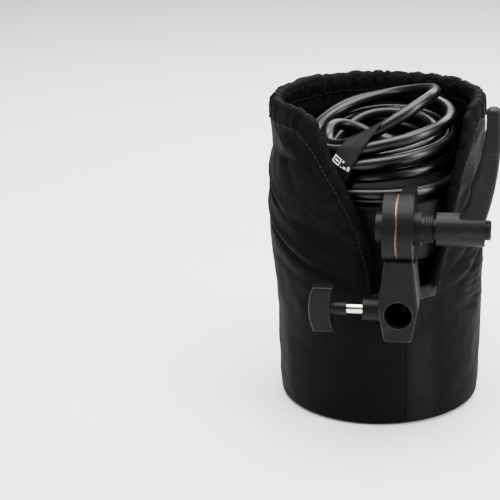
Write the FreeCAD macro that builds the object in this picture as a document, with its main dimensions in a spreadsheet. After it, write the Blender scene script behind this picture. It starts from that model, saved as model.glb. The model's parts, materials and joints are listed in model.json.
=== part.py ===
"""Padded storage sleeve with a studio flash head standing in it, rear end up.

Millimetres, +Z up. The origin is the centre of the sleeve's base, on the surface it stands on.
The tilt bracket faces -Y and its pivot runs along X. The sleeve's front seam is turned about Z
from -Y by seam_turn, and angles round the sleeve are counted from -Y, positive towards +X.
"""
import FreeCAD, Part
import math
import os

import Sketcher
from FreeCAD import Placement, Rotation, Vector

SIZES = [
    # sleeve: layers from the outside in
    ("sleeve_radius", 65, "outside radius of the fabric wall"),
    ("shell_skin", 0.8, "outer nylon"),
    ("foam_thickness", 6.4, "foam between the fabrics"),
    ("lining_skin", 0.8, "inner nylon"),
    ("wall_top", 191.5, "top of the wall layers, where the rim casing sits"),
    ("seam_turn", 19.3, "front seam's angle from -Y"),
    # front slot: height, left angle and right angle of its hem at five levels
    ("slot_height_1", 84, "below the slot's bottom hem"),
    ("slot_height_2", 112, ""),
    ("slot_height_3", 146, ""),
    ("slot_height_4", 181, ""),
    ("slot_height_5", 192, "above the wall layers"),
    ("slot_left_1", 15.5, ""),
    ("slot_left_2", 17.5, ""),
    ("slot_left_3", 30, ""),
    ("slot_left_4", 50, ""),
    ("slot_left_5", 61, ""),
    ("slot_right_1", 15.5, ""),
    ("slot_right_2", 22.5, ""),
    ("slot_right_3", 27.5, ""),
    ("slot_right_4", 41, ""),
    ("slot_right_5", 46, ""),
    ("hem_angle", 6, "width of the side hems, round the wall"),
    ("hem_width", 6, "height of the bottom hem"),
    ("hem_proud", 0.4, "how far the hem stands off both faces of the wall"),
    ("cutter_reach", 170, "length of the wedge that cuts the slot"),
    # rim
    ("rim_radius", 61, "to the middle of the casing"),
    ("rim_height", 195.8, "middle of the casing"),
    ("casing_radius", 4.2, "gathered casing"),
    ("elastic_radius", 3.0, "elastic inside it"),
    ("rim_left", 66, "left end of the rim"),
    ("rim_right", 49, "right end of the rim"),
    # base
    ("cover_skin", 0.8, "outer base fabric"),
    ("base_foam_thickness", 6.4, ""),
    ("seam_lap_width", 9, ""),
    ("seam_lap_thickness", 0.6, ""),
    # flash head
    ("head_radius", 50, ""),
    ("head_wall", 2.5, ""),
    ("head_front", 8.4, "front rim of the head, just clear of the base lining"),
    ("front_ring_top", 20.4, ""),
    ("housing_top", 131, ""),
    ("head_top", 141, ""),
    ("cover_bevel", 3, ""),
    ("glass_radius", 46.3, ""),
    ("glass_low", 11.2, ""),
    ("glass_high", 15.2, ""),
    ("glass_lip", 2.3, "how far the ring's lip covers the glass"),
    ("ring_bevel", 1.5, ""),
    ("plate_low", 64, ""),
    ("plate_high", 66.5, ""),
    ("dish_mouth", 44.5, "reflector's radius at its mouth"),
    ("dish_throat", 11, ""),
    ("dish_low", 22, ""),
    ("dish_high", 60, ""),
    ("dish_skin", 1.2, ""),
    ("dish_curve", 52, "radius of the bowl's outside"),
    ("leg_room", 0.6, "round the tube's legs where they pass the dish"),
    ("tube_ring", 22, "flash tube's ring"),
    ("tube_radius", 3.5, ""),
    ("tube_height", 38, ""),
    ("tube_leg", 2, ""),
    ("lamp_radius", 6.5, ""),
    ("lamp_low", 29, "centre of the lamp's round end"),
    ("lamp_base", 4, "radius and height of the lamp's foot"),
    ("socket_radius", 9, ""),
    ("socket_low", 50, ""),
    ("socket_high", 78, ""),
    # cable
    ("cord_radius", 3.75, ""),
    ("gland_x", 16, ""),
    ("gland_y", 15, ""),
    ("gland_collar", 6, ""),
    ("gland_rise", 148, "height where the boot starts to lean"),
    ("gland_bend", 14, "radius of the boot's bend"),
    ("gland_lean", 65, ""),
    ("gland_boot", 5.5, ""),
    ("gland_tail", 12, ""),
    ("coil_inner", 28, ""),
    ("coil_outer", 53.5, ""),
    ("coil_low", 141.4, ""),
    ("coil_high", 197, ""),
    ("coil_round", 7, ""),
    ("plug_y", 38, "plug's axis, behind the middle"),
    ("plug_height", 152.4, ""),
    ("plug_end", 27, "where the cord leaves the plug's tail"),
    ("plug_radius", 10.5, ""),
    ("plug_length", 49, ""),
    ("plug_grip", 16, "how far from the tail the full width starts"),
    ("plug_neck", 7, "radius of the neck before the tail"),
    ("plug_edge", 2, "bevel of the plug's face"),
    ("plug_space", 16, "room that the coil leaves each side of the plug's axis"),
    ("pin_radius", 1.6, ""),
    ("pin_length", 5, ""),
    ("pin_aside", 4, ""),
    ("cord_collar", 0.7, "how much wider than the cord a tail is"),
    ("pocket_top", 164, "top of the space the coil leaves for the plug"),
    ("strap_turn", -21, ""),
    ("strap_width", 16, ""),
    ("strap_thickness", 1.2, ""),
    # tilt joint, along X at arm_y, arm_z
    ("arm_y", -80, ""),
    ("arm_z", 136.2, ""),
    ("disc_radius", 20.2, ""),
    ("arm_disc_low", 10, ""),
    ("arm_disc_high", 17.4, ""),
    ("washer_radius", 19.8, ""),
    ("steel_low", 17.5, ""),
    ("brown_low", 18.0, ""),
    ("lug_low", 18.8, ""),
    ("lug_high", 27.4, ""),
    ("collar_radius", 10.3, ""),
    ("collar_high", 31.8, ""),
    ("bolt_radius", 4, ""),
    ("bolt_head_radius", 9, ""),
    ("bolt_head_low", 5.4, ""),
    ("bolt_end", 46.5, ""),
    ("running_gap", 0.06, "radial clearance of what turns or slides"),
    ("face_gap", 0.1, "between flat faces that turn on each other"),
    # lug saddle on the housing
    ("saddle_turn", 25.8, ""),
    ("saddle_half", 20, ""),
    ("saddle_low", 106, ""),
    ("saddle_high", 141, ""),
    ("saddle_radius", 55.5, ""),
    ("neck_half", 17, "half height of the neck between saddle and disc"),
    ("neck_start", 14, "how far behind the tilt axis the neck starts"),
    ("neck_room", 0.8, "between the neck and the coil above the head"),
    ("lug_screw_turn", 13, "each screw's angle from the saddle's middle"),
    ("lug_screw_low", 112, ""),
    ("lug_screw_high", 126, ""),
    ("lug_screw_radius", 2, ""),
    ("lug_screw_head", 3.4, ""),
    ("lug_screw_depth", 3.5, "how far a screw goes into the head"),
    ("lug_head_depth", 2, "how deep a screw's head is"),
    # stud block of the arm
    ("block_front", -95, ""),
    ("block_back", -67, ""),
    ("block_top", 123.5, ""),
    ("block_bevel", 4, "chamfer of the top front edge"),
    ("block_corner", 2, "rounding of the outline's corners"),
    ("block_edge", 0.9, "chamfer of the other front edges"),
    ("block_low", 69.8, ""),
    ("block_waist", 90, ""),
    ("block_top_left", 11.5, ""),
    ("block_top_right", 27.6, ""),
    ("block_left", 7.4, ""),
    ("block_right", 31.1, ""),
    ("block_low_left", 11, ""),
    ("block_low_right", 27.3, ""),
    ("stud_x", 19.4, ""),
    ("stud_z", 86.6, ""),
    ("stud_radius", 8.25, "socket for a 5/8 inch stud"),
    ("saddle_cut", 20.9, "hollow that clears the lug disc"),
    # clamp lever
    ("hub_radius", 7.9, ""),
    ("hub_high", 39, ""),
    ("spline_radius", 6.4, ""),
    ("spline_high", 51, ""),
    ("barrel_radius", 9.85, ""),
    ("barrel_low", 40.6, ""),
    ("barrel_high", 68.7, ""),
    ("web_low", 51.5, ""),
    ("web_high", 53.5, ""),
    ("handle_screw_radius", 2.5, ""),
    ("handle_screw_head", 6, ""),
    ("handle_head_low", 64, ""),
    ("handle_head_high", 72.2, ""),
    ("handle_head_bevel", 0.8, ""),
    ("bolt_gap", 0.5, "between the bolt's end and the handle screw"),
    ("spring_radius", 4.5, ""),
    ("spring_wire", 0.45, ""),
    ("spring_pitch", 1.9, ""),
    ("blade_depth", 12, ""),
    ("blade_foot_left", 47.5, ""),
    ("blade_foot_right", 68.2, ""),
    ("blade_foot_height", 4, ""),
    ("blade_neck_left", 60, ""),
    ("blade_neck_height", 26.5, ""),
    ("blade_tip_left", 67.8, ""),
    ("blade_tip_right", 75.7, ""),
    ("blade_tip_height", 70.8, ""),
    ("blade_tip_round", 4.6, ""),
    ("blade_outer_curve", 165, "radius of the blade's right edge"),
    ("blade_inner_curve", 110, "radius of its left edge"),
    ("blade_neck_curve", 26, "radius where the blade leaves the barrel"),
    ("blade_edge", 2.5, "rounding of the blade's edges"),
    ("blade_edge_start", 9, "height where that rounding starts"),
    # stud screw and its knob, along X
    ("screw_y", -85, ""),
    ("screw_radius", 3, ""),
    ("boss_radius", 6.7, ""),
    ("boss_low", -2, ""),
    ("screw_low", -24, ""),
    ("screw_tip", 8.2, ""),
    ("pad_high", 10.8, ""),
    ("pivot_tip_radius", 1.5, ""),
    ("pivot_tip_high", 9.7, ""),
    ("knob_left", -31.5, ""),
    ("knob_right", -19.6, ""),
    ("knob_shoulder", -21.5, ""),
    ("knob_half", 14, ""),
    ("knob_crown", 36.4, ""),
    ("knob_depth", 10, ""),
    ("knob_edge", 1.4, "rounding of its edges"),
    ("stem_start", 4, "how deep the stem reaches into the knob"),
    ("stem_radius", 4.1, ""),
    ("stem_high", -11.7, ""),
]

doc = FreeCAD.newDocument("padded_head_sleeve")
dims = doc.addObject("Spreadsheet::Sheet", "dims")
for row, (alias, size, meaning) in enumerate(SIZES, start=1):
    dims.set(f"A{row}", alias.replace("_", " "))
    dims.set(f"B{row}", str(size))
    dims.set(f"C{row}", meaning)
    dims.setAlias(f"B{row}", alias)
doc.recompute()

parts = []


# ---- helpers --------------------------------------------------------------------------------

def number(formula):
    """What a formula on the sheet's cells comes to."""
    return float(dims.evalExpression(str(formula)))


def part(node, item):
    """Names a finished sub-part: its label is its node's and its file's name."""
    item.Label = node
    parts.append(item)
    return item


def bind(item, **formulas):
    """Binds properties to formulas; a double underscore stands for a dot."""
    for name, formula in formulas.items():
        item.setExpression(name.replace("__", "."), str(formula))
    return item


def place(item, base=("0", "0", "0"), turn=None):
    """Binds the item's position, and its turn about +Z in degrees where one is given."""
    bind(item, Placement__Base__x=base[0], Placement__Base__y=base[1], Placement__Base__z=base[2])
    if turn is not None:
        item.Placement = Placement(item.Placement.Base, Rotation(Vector(0, 0, 1), 1))
        bind(item, Placement__Rotation__Angle=turn)
    return item


LIE_ALONG = {
    "X": Rotation(Vector(0, 1, 0), 90),
    "Z": Rotation(),
}


def rod(name, radius, start, end, at=("0", "0"), along="Z"):
    """Cylinder from start to end along an axis; at holds its other two coordinates in order."""
    item = doc.addObject("Part::Cylinder", name)
    item.Placement = Placement(Vector(), LIE_ALONG[along])
    bind(item, Radius=radius, Height=f"({end}) - ({start})")
    return place(item, (start, *at) if along == "X" else (*at, start))


def box(name, low, high):
    """Box between two corners, each three formulas."""
    item = doc.addObject("Part::Box", name)
    bind(item, Length=f"({high[0]}) - ({low[0]})", Width=f"({high[1]}) - ({low[1]})")
    bind(item, Height=f"({high[2]}) - ({low[2]})")
    return place(item, low)


def cut(name, base, tool):
    item = doc.addObject("Part::Cut", name)
    item.Base = base
    item.Tool = tool
    return item


def common(name, base, tool):
    item = doc.addObject("Part::Common", name)
    item.Base = base
    item.Tool = tool
    return item


def fuse(name, *pieces):
    item = doc.addObject("Part::MultiFuse", name)
    item.Shapes = list(pieces)
    return item


def group(name, *pieces):
    """Separate solids that share one node."""
    item = doc.addObject("Part::Compound", name)
    item.Links = list(pieces)
    return item


def tube(name, outer, inner, start, end, at=("0", "0"), along="Z"):
    body = rod(f"{name}_outside", outer, start, end, at, along)
    bore = rod(f"{name}_inside", inner, start, end, at, along)
    return cut(name, body, bore)


def plane_of(body, role):
    return next(item for item in body.Origin.OriginFeatures if item.Role == role)


def sketch_on(body, name, plane, offset="0"):
    sketch = body.newObject("Sketcher::SketchObject", name)
    sketch.AttachmentSupport = (plane_of(body, plane), [""])
    sketch.MapMode = "FlatFace"
    bind(sketch, AttachmentOffset__Base__z=offset)
    return sketch


def arc_edge(start, end, radius):
    """Minor arc from start to end; a positive radius bulges to the right of that direction."""
    chord = end - start
    half = chord.Length / 2
    side = Vector(chord.y, -chord.x, 0).normalize() * math.copysign(1, radius)
    centre = start + chord / 2 - side * math.sqrt(radius * radius - half * half)
    first, last = (start, end) if radius > 0 else (end, start)
    angles = [math.atan2(point.y - centre.y, point.x - centre.x) for point in (first, last)]
    if angles[1] < angles[0]:
        angles[1] += 2 * math.pi
    circle = Part.Circle(centre, Vector(0, 0, 1), abs(radius))
    return Part.ArcOfCircle(circle, *angles)


def draw(sketch, corners):
    """Closed outline through corners (x, y) or (x, y, radius of the arc that leaves it)."""
    points = [Vector(number(corner[0]), number(corner[1]), 0) for corner in corners]
    following = points[1:] + points[:1]
    for corner, here, there in zip(corners, points, following):
        if len(corner) == 3:
            sketch.addGeometry(arc_edge(here, there, number(corner[2])), False)
        else:
            sketch.addGeometry(Part.LineSegment(here, there), False)

    def end_at(edge, point):
        shape = sketch.Geometry[edge]
        return 1 if (shape.StartPoint - point).Length < (shape.EndPoint - point).Length else 2

    def drive(kind, axis, edge, end, formula, size):
        if abs(size) < 1e-9:
            sketch.addConstraint(Sketcher.Constraint("PointOnObject", edge, end, axis))
            return
        index = sketch.addConstraint(Sketcher.Constraint(kind, -1, 1, edge, end, size))
        bind(sketch, **{f"Constraints[{index}]": formula})

    for edge, (corner, point) in enumerate(zip(corners, points)):
        before = (edge - 1) % len(points)
        ends = (before, end_at(before, point), edge, end_at(edge, point))
        sketch.addConstraint(Sketcher.Constraint("Coincident", *ends))
        drive("DistanceX", -2, edge, end_at(edge, point), corner[0], point.x)
        drive("DistanceY", -1, edge, end_at(edge, point), corner[1], point.y)
        if len(corner) == 3:
            radius = sketch.Geometry[edge].Radius
            index = sketch.addConstraint(Sketcher.Constraint("Radius", edge, radius))
            bind(sketch, **{f"Constraints[{index}]": f"abs({corner[2]})"})
    return sketch


def draw_circle(sketch, radius, centre=("0", "0")):
    middle = Vector(number(centre[0]), number(centre[1]), 0)
    sketch.addGeometry(Part.Circle(middle, Vector(0, 0, 1), number(radius)), False)
    index = sketch.addConstraint(Sketcher.Constraint("Radius", 0, number(radius)))
    bind(sketch, **{f"Constraints[{index}]": radius})
    for kind, axis, formula, size in (
        ("DistanceX", -2, centre[0], middle.x),
        ("DistanceY", -1, centre[1], middle.y),
    ):
        if abs(size) < 1e-9:
            sketch.addConstraint(Sketcher.Constraint("PointOnObject", 0, 3, axis))
        else:
            index = sketch.addConstraint(Sketcher.Constraint(kind, -1, 1, 0, 3, size))
            bind(sketch, **{f"Constraints[{index}]": formula})
    return sketch


def feature(body, kind, name, sketch, **formulas):
    item = body.newObject(f"PartDesign::{kind}", name)
    item.Profile = sketch
    return bind(item, **formulas)


def turned(name, corners, at=("0", "0", "0"), lie=False):
    """Body of revolution; corners are (radius, height), or (along X, radius) where it lies."""
    body = doc.addObject("PartDesign::Body", name)
    sketch = draw(sketch_on(body, f"{name}_profile", "XZ_Plane"), corners)
    spin = feature(body, "Revolution", f"{name}_turn", sketch)
    spin.ReferenceAxis = (sketch, ["H_Axis" if lie else "V_Axis"])
    spin.Angle = 360
    return place(body, at)


def edges_where(shape, keep):
    """Names of the edges whose middle point passes the test."""
    names = []
    for index, edge in enumerate(shape.Edges, start=1):
        if keep(edge.CenterOfMass, edge):
            names.append(f"Edge{index}")
    return names


def soften(body, name, kind, size, keep):
    """Fillet or chamfer on the edges of the body's tip that pass the test."""
    doc.recompute()
    tip = body.Tip
    names = edges_where(tip.Shape, keep)
    if not names:
        raise SystemExit(f"{name}: no edge to soften")
    item = body.newObject(f"PartDesign::{kind}", name)
    item.Base = (tip, names)
    if kind == "Fillet":
        item.Radius = size
    else:
        item.Size = size
    return item


# ---- sleeve ---------------------------------------------------------------------------------

foam_outer = "(dims.sleeve_radius - dims.shell_skin)"
foam_inner = f"({foam_outer} - dims.foam_thickness)"
lining_inner = f"({foam_inner} - dims.lining_skin)"
SLOT_LEVELS = range(1, 6)


def wedge(name, left, right):
    """Solid round the axis between two angles that change from slot level to slot level."""
    sections = []
    for level in SLOT_LEVELS:
        sketch = doc.addObject("Sketcher::SketchObject", f"{name}_section_{level}")
        corners = [("0", "0")]
        for side in (left, right):
            angle = side.format(level=level)
            corners.append((f"dims.cutter_reach * sin({angle})", f"-dims.cutter_reach * cos({angle})"))
        draw(sketch, corners)
        place(sketch, ("0", "0", f"dims.slot_height_{level}"))
        sections.append(sketch)
    loft = doc.addObject("Part::Loft", name)
    loft.Sections = sections
    loft.Solid = True
    loft.Ruled = True
    return loft


def sleeve_walls():
    """Three layers of the wall, each with the slot cut out, hem included."""
    layers = [
        ("outer_shell", "dims.sleeve_radius", foam_outer),
        ("foam_wall", foam_outer, foam_inner),
        ("inner_lining", foam_inner, lining_inner),
    ]
    left = "-(dims.slot_left_{level} + dims.hem_angle)"
    right = "(dims.slot_right_{level} + dims.hem_angle)"
    for node, outer, inner in layers:
        ring = tube(f"{node}_ring", outer, inner, "dims.cover_skin", "dims.wall_top")
        layer = cut(node, ring, wedge(f"{node}_slot", left, right))
        part(node, place(layer, turn="dims.seam_turn"))


def slot_hems():
    """Folded hems that close the foam along the slot: left, right and bottom."""
    outer = "dims.sleeve_radius + dims.hem_proud"
    inner = f"{lining_inner} - dims.hem_proud"
    sides = [
        ("slot_facing_left", "-(dims.slot_left_{level} + dims.hem_angle)", "-dims.slot_left_{level}"),
        ("slot_facing_right", "dims.slot_right_{level}", "(dims.slot_right_{level} + dims.hem_angle)"),
    ]
    for node, start, end in sides:
        ring = tube(f"{node}_ring", outer, inner, "dims.slot_height_1", "dims.wall_top")
        hem = common(node, ring, wedge(f"{node}_wedge", start, end))
        part(node, place(hem, turn="dims.seam_turn"))
    top = "dims.slot_height_1 + dims.hem_width"
    ring = tube("slot_facing_bottom_ring", outer, inner, "dims.slot_height_1", top)
    span = wedge("slot_facing_bottom_wedge", "-dims.slot_left_1", "dims.slot_right_1")
    part("slot_facing_bottom", place(common("slot_facing_bottom", ring, span), turn="dims.seam_turn"))


def rim():
    """Gathered casing round the back of the mouth, and the elastic it holds."""
    def hoop(name, radius):
        item = doc.addObject("Part::Torus", name)
        bind(item, Radius1="dims.rim_radius", Radius2=radius)
        bind(item, Angle3="360 - dims.rim_left - dims.rim_right")
        return item

    casing = cut("rim_casing", hoop("casing_outside", "dims.casing_radius"),
                 hoop("casing_inside", "dims.elastic_radius"))
    start = "dims.seam_turn + dims.rim_right - 90"
    part("rim_casing", place(casing, ("0", "0", "dims.rim_height"), start))
    part("rim_elastic", place(hoop("rim_elastic", "dims.elastic_radius"),
                              ("0", "0", "dims.rim_height"), start))


def base():
    """Padded bottom: outer cover under the whole wall, foam and lining inside it."""
    foam_top = "(dims.cover_skin + dims.base_foam_thickness)"
    part("base_cover", rod("base_cover", "dims.sleeve_radius", "0", "dims.cover_skin"))
    part("base_foam", rod("base_foam", lining_inner, "dims.cover_skin", foam_top))
    part("base_lining", rod("base_lining", lining_inner, foam_top, f"{foam_top} + dims.lining_skin"))


def front_seam():
    """Lapped seam of the outer fabric, from the base up to the slot."""
    outer = "(dims.sleeve_radius + dims.seam_lap_thickness)"
    low = "dims.cover_skin"
    ring = tube("front_seam_ring", outer, "dims.sleeve_radius", low, "dims.slot_height_1")
    half = "dims.seam_lap_width / 2"
    strip = box("front_seam_strip", (f"-{half}", f"-{outer} - 1", low),
                (half, "0", "dims.slot_height_1"))
    part("front_seam", place(common("front_seam", ring, strip), turn="dims.seam_turn"))


# ---- flash head -----------------------------------------------------------------------------

def lug_screw_tools(name):
    """Four radial screws that hold the lug's saddle on the housing."""
    screws = []
    seat = "dims.saddle_radius - dims.lug_head_depth"
    for row, height in enumerate(("dims.lug_screw_low", "dims.lug_screw_high")):
        for side in (-1, 1):
            angle = f"(dims.saddle_turn + {side} * dims.lug_screw_turn)"
            lean = Rotation(Vector(0, 0, 1), number(angle)) * Rotation(Vector(1, 0, 0), 90)
            pieces = []
            for piece, radius, start, end in (
                ("shank", "dims.lug_screw_radius", "dims.head_radius - dims.lug_screw_depth", seat),
                ("head", "dims.lug_screw_head", seat, "dims.saddle_radius"),
            ):
                item = doc.addObject("Part::Cylinder", f"{name}_{piece}_{row}_{side + 1}")
                item.Placement = Placement(Vector(), lean)
                bind(item, Radius=radius, Height=f"{end} - ({start})")
                place(item, (f"({start}) * sin{angle}", f"-({start}) * cos{angle}", height))
                pieces.append(item)
            screws.append(fuse(f"{name}_screw_{row}_{side + 1}", *pieces))
    return group(name, *screws)


def head_shell():
    """Housing tube, front ring with its glass, and the rear cover."""
    wall_inner = "(dims.head_radius - dims.head_wall)"
    bare = tube("housing_tube", "dims.head_radius", wall_inner, "dims.front_ring_top", "dims.housing_top")
    part("head_housing", cut("head_housing", bare, lug_screw_tools("housing_holes")))
    part("rear_cover", turned("rear_cover", [
        ("0", "dims.head_top - dims.head_wall"),
        (wall_inner, "dims.head_top - dims.head_wall"),
        (wall_inner, "dims.housing_top"),
        ("dims.head_radius", "dims.housing_top"),
        ("dims.head_radius", "dims.head_top - dims.cover_bevel"),
        ("dims.head_radius - dims.cover_bevel", "dims.head_top"),
        ("0", "dims.head_top"),
    ]))
    glass_seat = "(dims.glass_radius - dims.glass_lip)"
    part("front_ring", turned("front_ring", [
        (glass_seat, "dims.head_front"),
        ("dims.head_radius - dims.ring_bevel", "dims.head_front"),
        ("dims.head_radius", "dims.head_front + dims.ring_bevel"),
        ("dims.head_radius", "dims.front_ring_top"),
        ("dims.glass_radius", "dims.front_ring_top"),
        ("dims.glass_radius", "dims.glass_low"),
        (glass_seat, "dims.glass_low"),
    ]))
    part("front_glass", rod("front_glass", "dims.glass_radius", "dims.glass_low", "dims.glass_high"))


def head_insides():
    """Chassis plate with the lamp socket, modelling lamp, ring flash tube and reflector."""
    legs = []
    for name, x in (("tube_leg_left", "-dims.tube_ring"), ("tube_leg_right", "dims.tube_ring")):
        legs.append(rod(name, "dims.tube_leg", "dims.tube_height", "dims.plate_low", (x, "0")))
    ring = doc.addObject("Part::Torus", "tube_ring_body")
    bind(ring, Radius1="dims.tube_ring", Radius2="dims.tube_radius")
    place(ring, ("0", "0", "dims.tube_height"))
    part("flash_tube", fuse("flash_tube", ring, *legs))

    holes = []
    for name, x in (("leg_hole_left", "-dims.tube_ring"), ("leg_hole_right", "dims.tube_ring")):
        hole = rod(name, "dims.tube_leg + dims.leg_room", "dims.tube_height", "dims.plate_low", (x, "0"))
        holes.append(hole)
    dish = turned("dish_bowl", [
        ("dims.dish_mouth", "dims.dish_low"),
        ("dims.dish_mouth + dims.dish_skin", "dims.dish_low", "dims.dish_curve"),
        ("dims.dish_throat + dims.dish_skin", "dims.dish_high"),
        ("dims.dish_throat", "dims.dish_high", "1 - dims.dish_curve"),
    ])
    part("reflector_dish", cut("reflector_dish", dish, fuse("leg_holes", *holes)))

    part("lamp_socket", rod("lamp_socket", "dims.socket_radius", "dims.socket_low", "dims.socket_high"))
    part("chassis_plate", tube("chassis_plate", "dims.head_radius - dims.head_wall",
                               "dims.socket_radius", "dims.plate_low", "dims.plate_high"))
    part("modelling_lamp", turned("modelling_lamp", [
        ("0", "dims.lamp_low - dims.lamp_radius", "dims.lamp_radius"),
        ("dims.lamp_radius", "dims.lamp_low"),
        ("dims.lamp_radius", "dims.socket_low - dims.lamp_base"),
        ("dims.lamp_base", "dims.socket_low"),
        ("0", "dims.socket_low"),
    ]))


def tilt_lug():
    """Saddle screwed to the housing, neck out through the slot, and the fixed disc of the tilt."""
    sector = tube("saddle_ring", "dims.saddle_radius", "dims.head_radius",
                  "dims.saddle_low", "dims.saddle_high")
    for item in (sector.Base, sector.Tool):
        bind(item, Angle="2 * dims.saddle_half")
    place(sector, turn="dims.saddle_turn - dims.saddle_half - 90")
    neck = box("lug_neck", ("dims.lug_low", "dims.arm_y + dims.neck_start", "dims.arm_z - dims.neck_half"),
               ("dims.lug_high", "dims.head_wall - dims.head_radius", "dims.arm_z + dims.neck_half"))
    housing_room = rod("lug_housing_room", "dims.head_radius", "dims.saddle_low", "dims.head_top")
    coil_room = rod("lug_coil_room", "dims.coil_outer + dims.neck_room", "dims.head_top", "dims.coil_high")
    neck = cut("lug_neck_end", cut("lug_neck_low", neck, housing_room), coil_room)
    at = ("dims.arm_y", "dims.arm_z")
    disc = rod("lug_disc", "dims.disc_radius", "dims.lug_low", "dims.lug_high", at, "X")
    whole = fuse("lug_whole", sector, neck, disc)
    bore = rod("lug_bore", "dims.bolt_radius", "dims.lug_low", "dims.lug_high", at, "X")
    holes = lug_screw_tools("saddle_holes")
    part("tilt_lug", cut("tilt_lug", cut("lug_bored", whole, bore), holes))
    part("lug_screws", lug_screw_tools("lug_screws"))


def tilt_stack():
    """What is threaded on the pivot bolt: washers, the lug and the thrust collar."""
    at = ("dims.arm_y", "dims.arm_z")
    for node, low, high, radius in (
        ("steel_washer", "dims.steel_low", "dims.brown_low", "dims.washer_radius"),
        ("friction_washer", "dims.brown_low", "dims.lug_low", "dims.washer_radius"),
        ("thrust_collar", "dims.lug_high", "dims.collar_high", "dims.collar_radius"),
    ):
        part(node, tube(node, radius, "dims.bolt_radius", low, high, at, "X"))
    shank = rod("bolt_shank", "dims.bolt_radius", "dims.bolt_head_low + 1", "dims.bolt_end", at, "X")
    head = rod("bolt_head", "dims.bolt_head_radius", "dims.bolt_head_low",
               "dims.arm_disc_low - dims.face_gap", at, "X")
    part("pivot_bolt", fuse("pivot_bolt", head, shank))


# ---- cable ----------------------------------------------------------------------------------

LEAD_ROUTE = [
    (-3.0, 15.0, 165.8),
    (-11.6, 15.0, 169.8),
    (-20.1, 12.4, 173.2),
    (-27.8, 6.8, 175.4),
]


def cable_gland():
    """Moulded boot on the rear cover that leans over so that the cord leaves along the coil."""
    at = ("dims.gland_x", "dims.gland_y")
    collar = rod("gland_collar", "dims.gland_collar", "dims.head_top", "dims.gland_rise", at)
    bend = doc.addObject("Part::Torus", "gland_bend")
    bind(bend, Radius1="dims.gland_bend", Radius2="dims.gland_boot", Angle3="dims.gland_lean")
    bend.Placement = Placement(Vector(), Rotation(Vector(1, 0, 0), 90))
    place(bend, ("dims.gland_x - dims.gland_bend", "dims.gland_y", "dims.gland_rise"))
    tail = doc.addObject("Part::Cone", "gland_tail")
    bind(tail, Radius1="dims.gland_boot", Radius2="dims.cord_radius + dims.cord_collar")
    bind(tail, Height="dims.gland_tail")
    tail.Placement = Placement(Vector(), Rotation(Vector(0, 1, 0), -number("dims.gland_lean")))
    reach = "dims.gland_x - dims.gland_bend + dims.gland_bend * cos(dims.gland_lean)"
    place(tail, (reach, "dims.gland_y", "dims.gland_rise + dims.gland_bend * sin(dims.gland_lean)"))
    part("cable_gland", fuse("cable_gland", collar, bend, tail))


def rounded_path(points):
    """Straight runs joined by tangent arcs, as large as the runs allow; also their radii."""
    points = [Vector(*point) for point in points]
    edges, radii = [], []
    start = points[0]
    for before, corner, after in zip(points, points[1:], points[2:]):
        run_in, run_out = corner - before, after - corner
        turn = run_in.getAngle(run_out)
        reach = 0.45 * min(run_in.Length, run_out.Length)
        radius = reach / math.tan(turn / 2)
        first = corner - run_in.normalize() * reach
        last = corner + run_out.normalize() * reach
        centre_way = (run_out - run_in).normalize()
        middle = corner + centre_way * (radius / math.cos(turn / 2) - radius)
        edges.append(Part.LineSegment(start, first).toShape())
        edges.append(Part.Arc(first, middle, last).toShape())
        radii.append(round(radius, 1))
        start = last
    edges.append(Part.LineSegment(start, points[-1]).toShape())
    return Part.Wire(edges), radii


def cord_lead():
    """Free stretch of the cable, from the gland into the coil."""
    path, radii = rounded_path(LEAD_ROUTE)
    first_way = Vector(*LEAD_ROUTE[1]) - Vector(*LEAD_ROUTE[0])
    section = Part.Wire(Part.Circle(Vector(*LEAD_ROUTE[0]), first_way, number("dims.cord_radius")).toShape())
    solid = path.makePipeShell([section], True, False, 2)
    wanted = path.Length * math.pi * number("dims.cord_radius") ** 2
    if abs(solid.Volume / wanted - 1) > 0.01:
        raise SystemExit("cord_lead: volume is off its section times its length")
    print("cord_lead length", round(path.Length, 1), "radii", radii)
    lead = doc.addObject("Part::Feature", "cord_lead")
    lead.Shape = solid
    lead.Placement = Placement()
    part("cord_lead", lead)


def coil_ring(name):
    """Outer shape of the coiled cable: a rounded ring with a pocket behind for the plug."""
    rounding, inner, outer = "dims.coil_round", "dims.coil_inner", "dims.coil_outer"
    low, high = "dims.coil_low", "dims.coil_high"
    ring = turned(f"{name}_ring", [
        (f"{inner} + {rounding}", low),
        (f"{outer} - {rounding}", low, rounding),
        (outer, f"{low} + {rounding}"),
        (outer, f"{high} - {rounding}", rounding),
        (f"{outer} - {rounding}", high),
        (f"{inner} + {rounding}", high, rounding),
        (inner, f"{high} - {rounding}"),
        (inner, f"{low} + {rounding}", rounding),
    ])
    pocket = box(f"{name}_pocket", ("-dims.plug_end", "dims.plug_y - dims.plug_space", "dims.head_top"),
                 ("dims.plug_end", "dims.coil_outer + 1", "dims.pocket_top"))
    return cut(name, ring, pocket)


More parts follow.
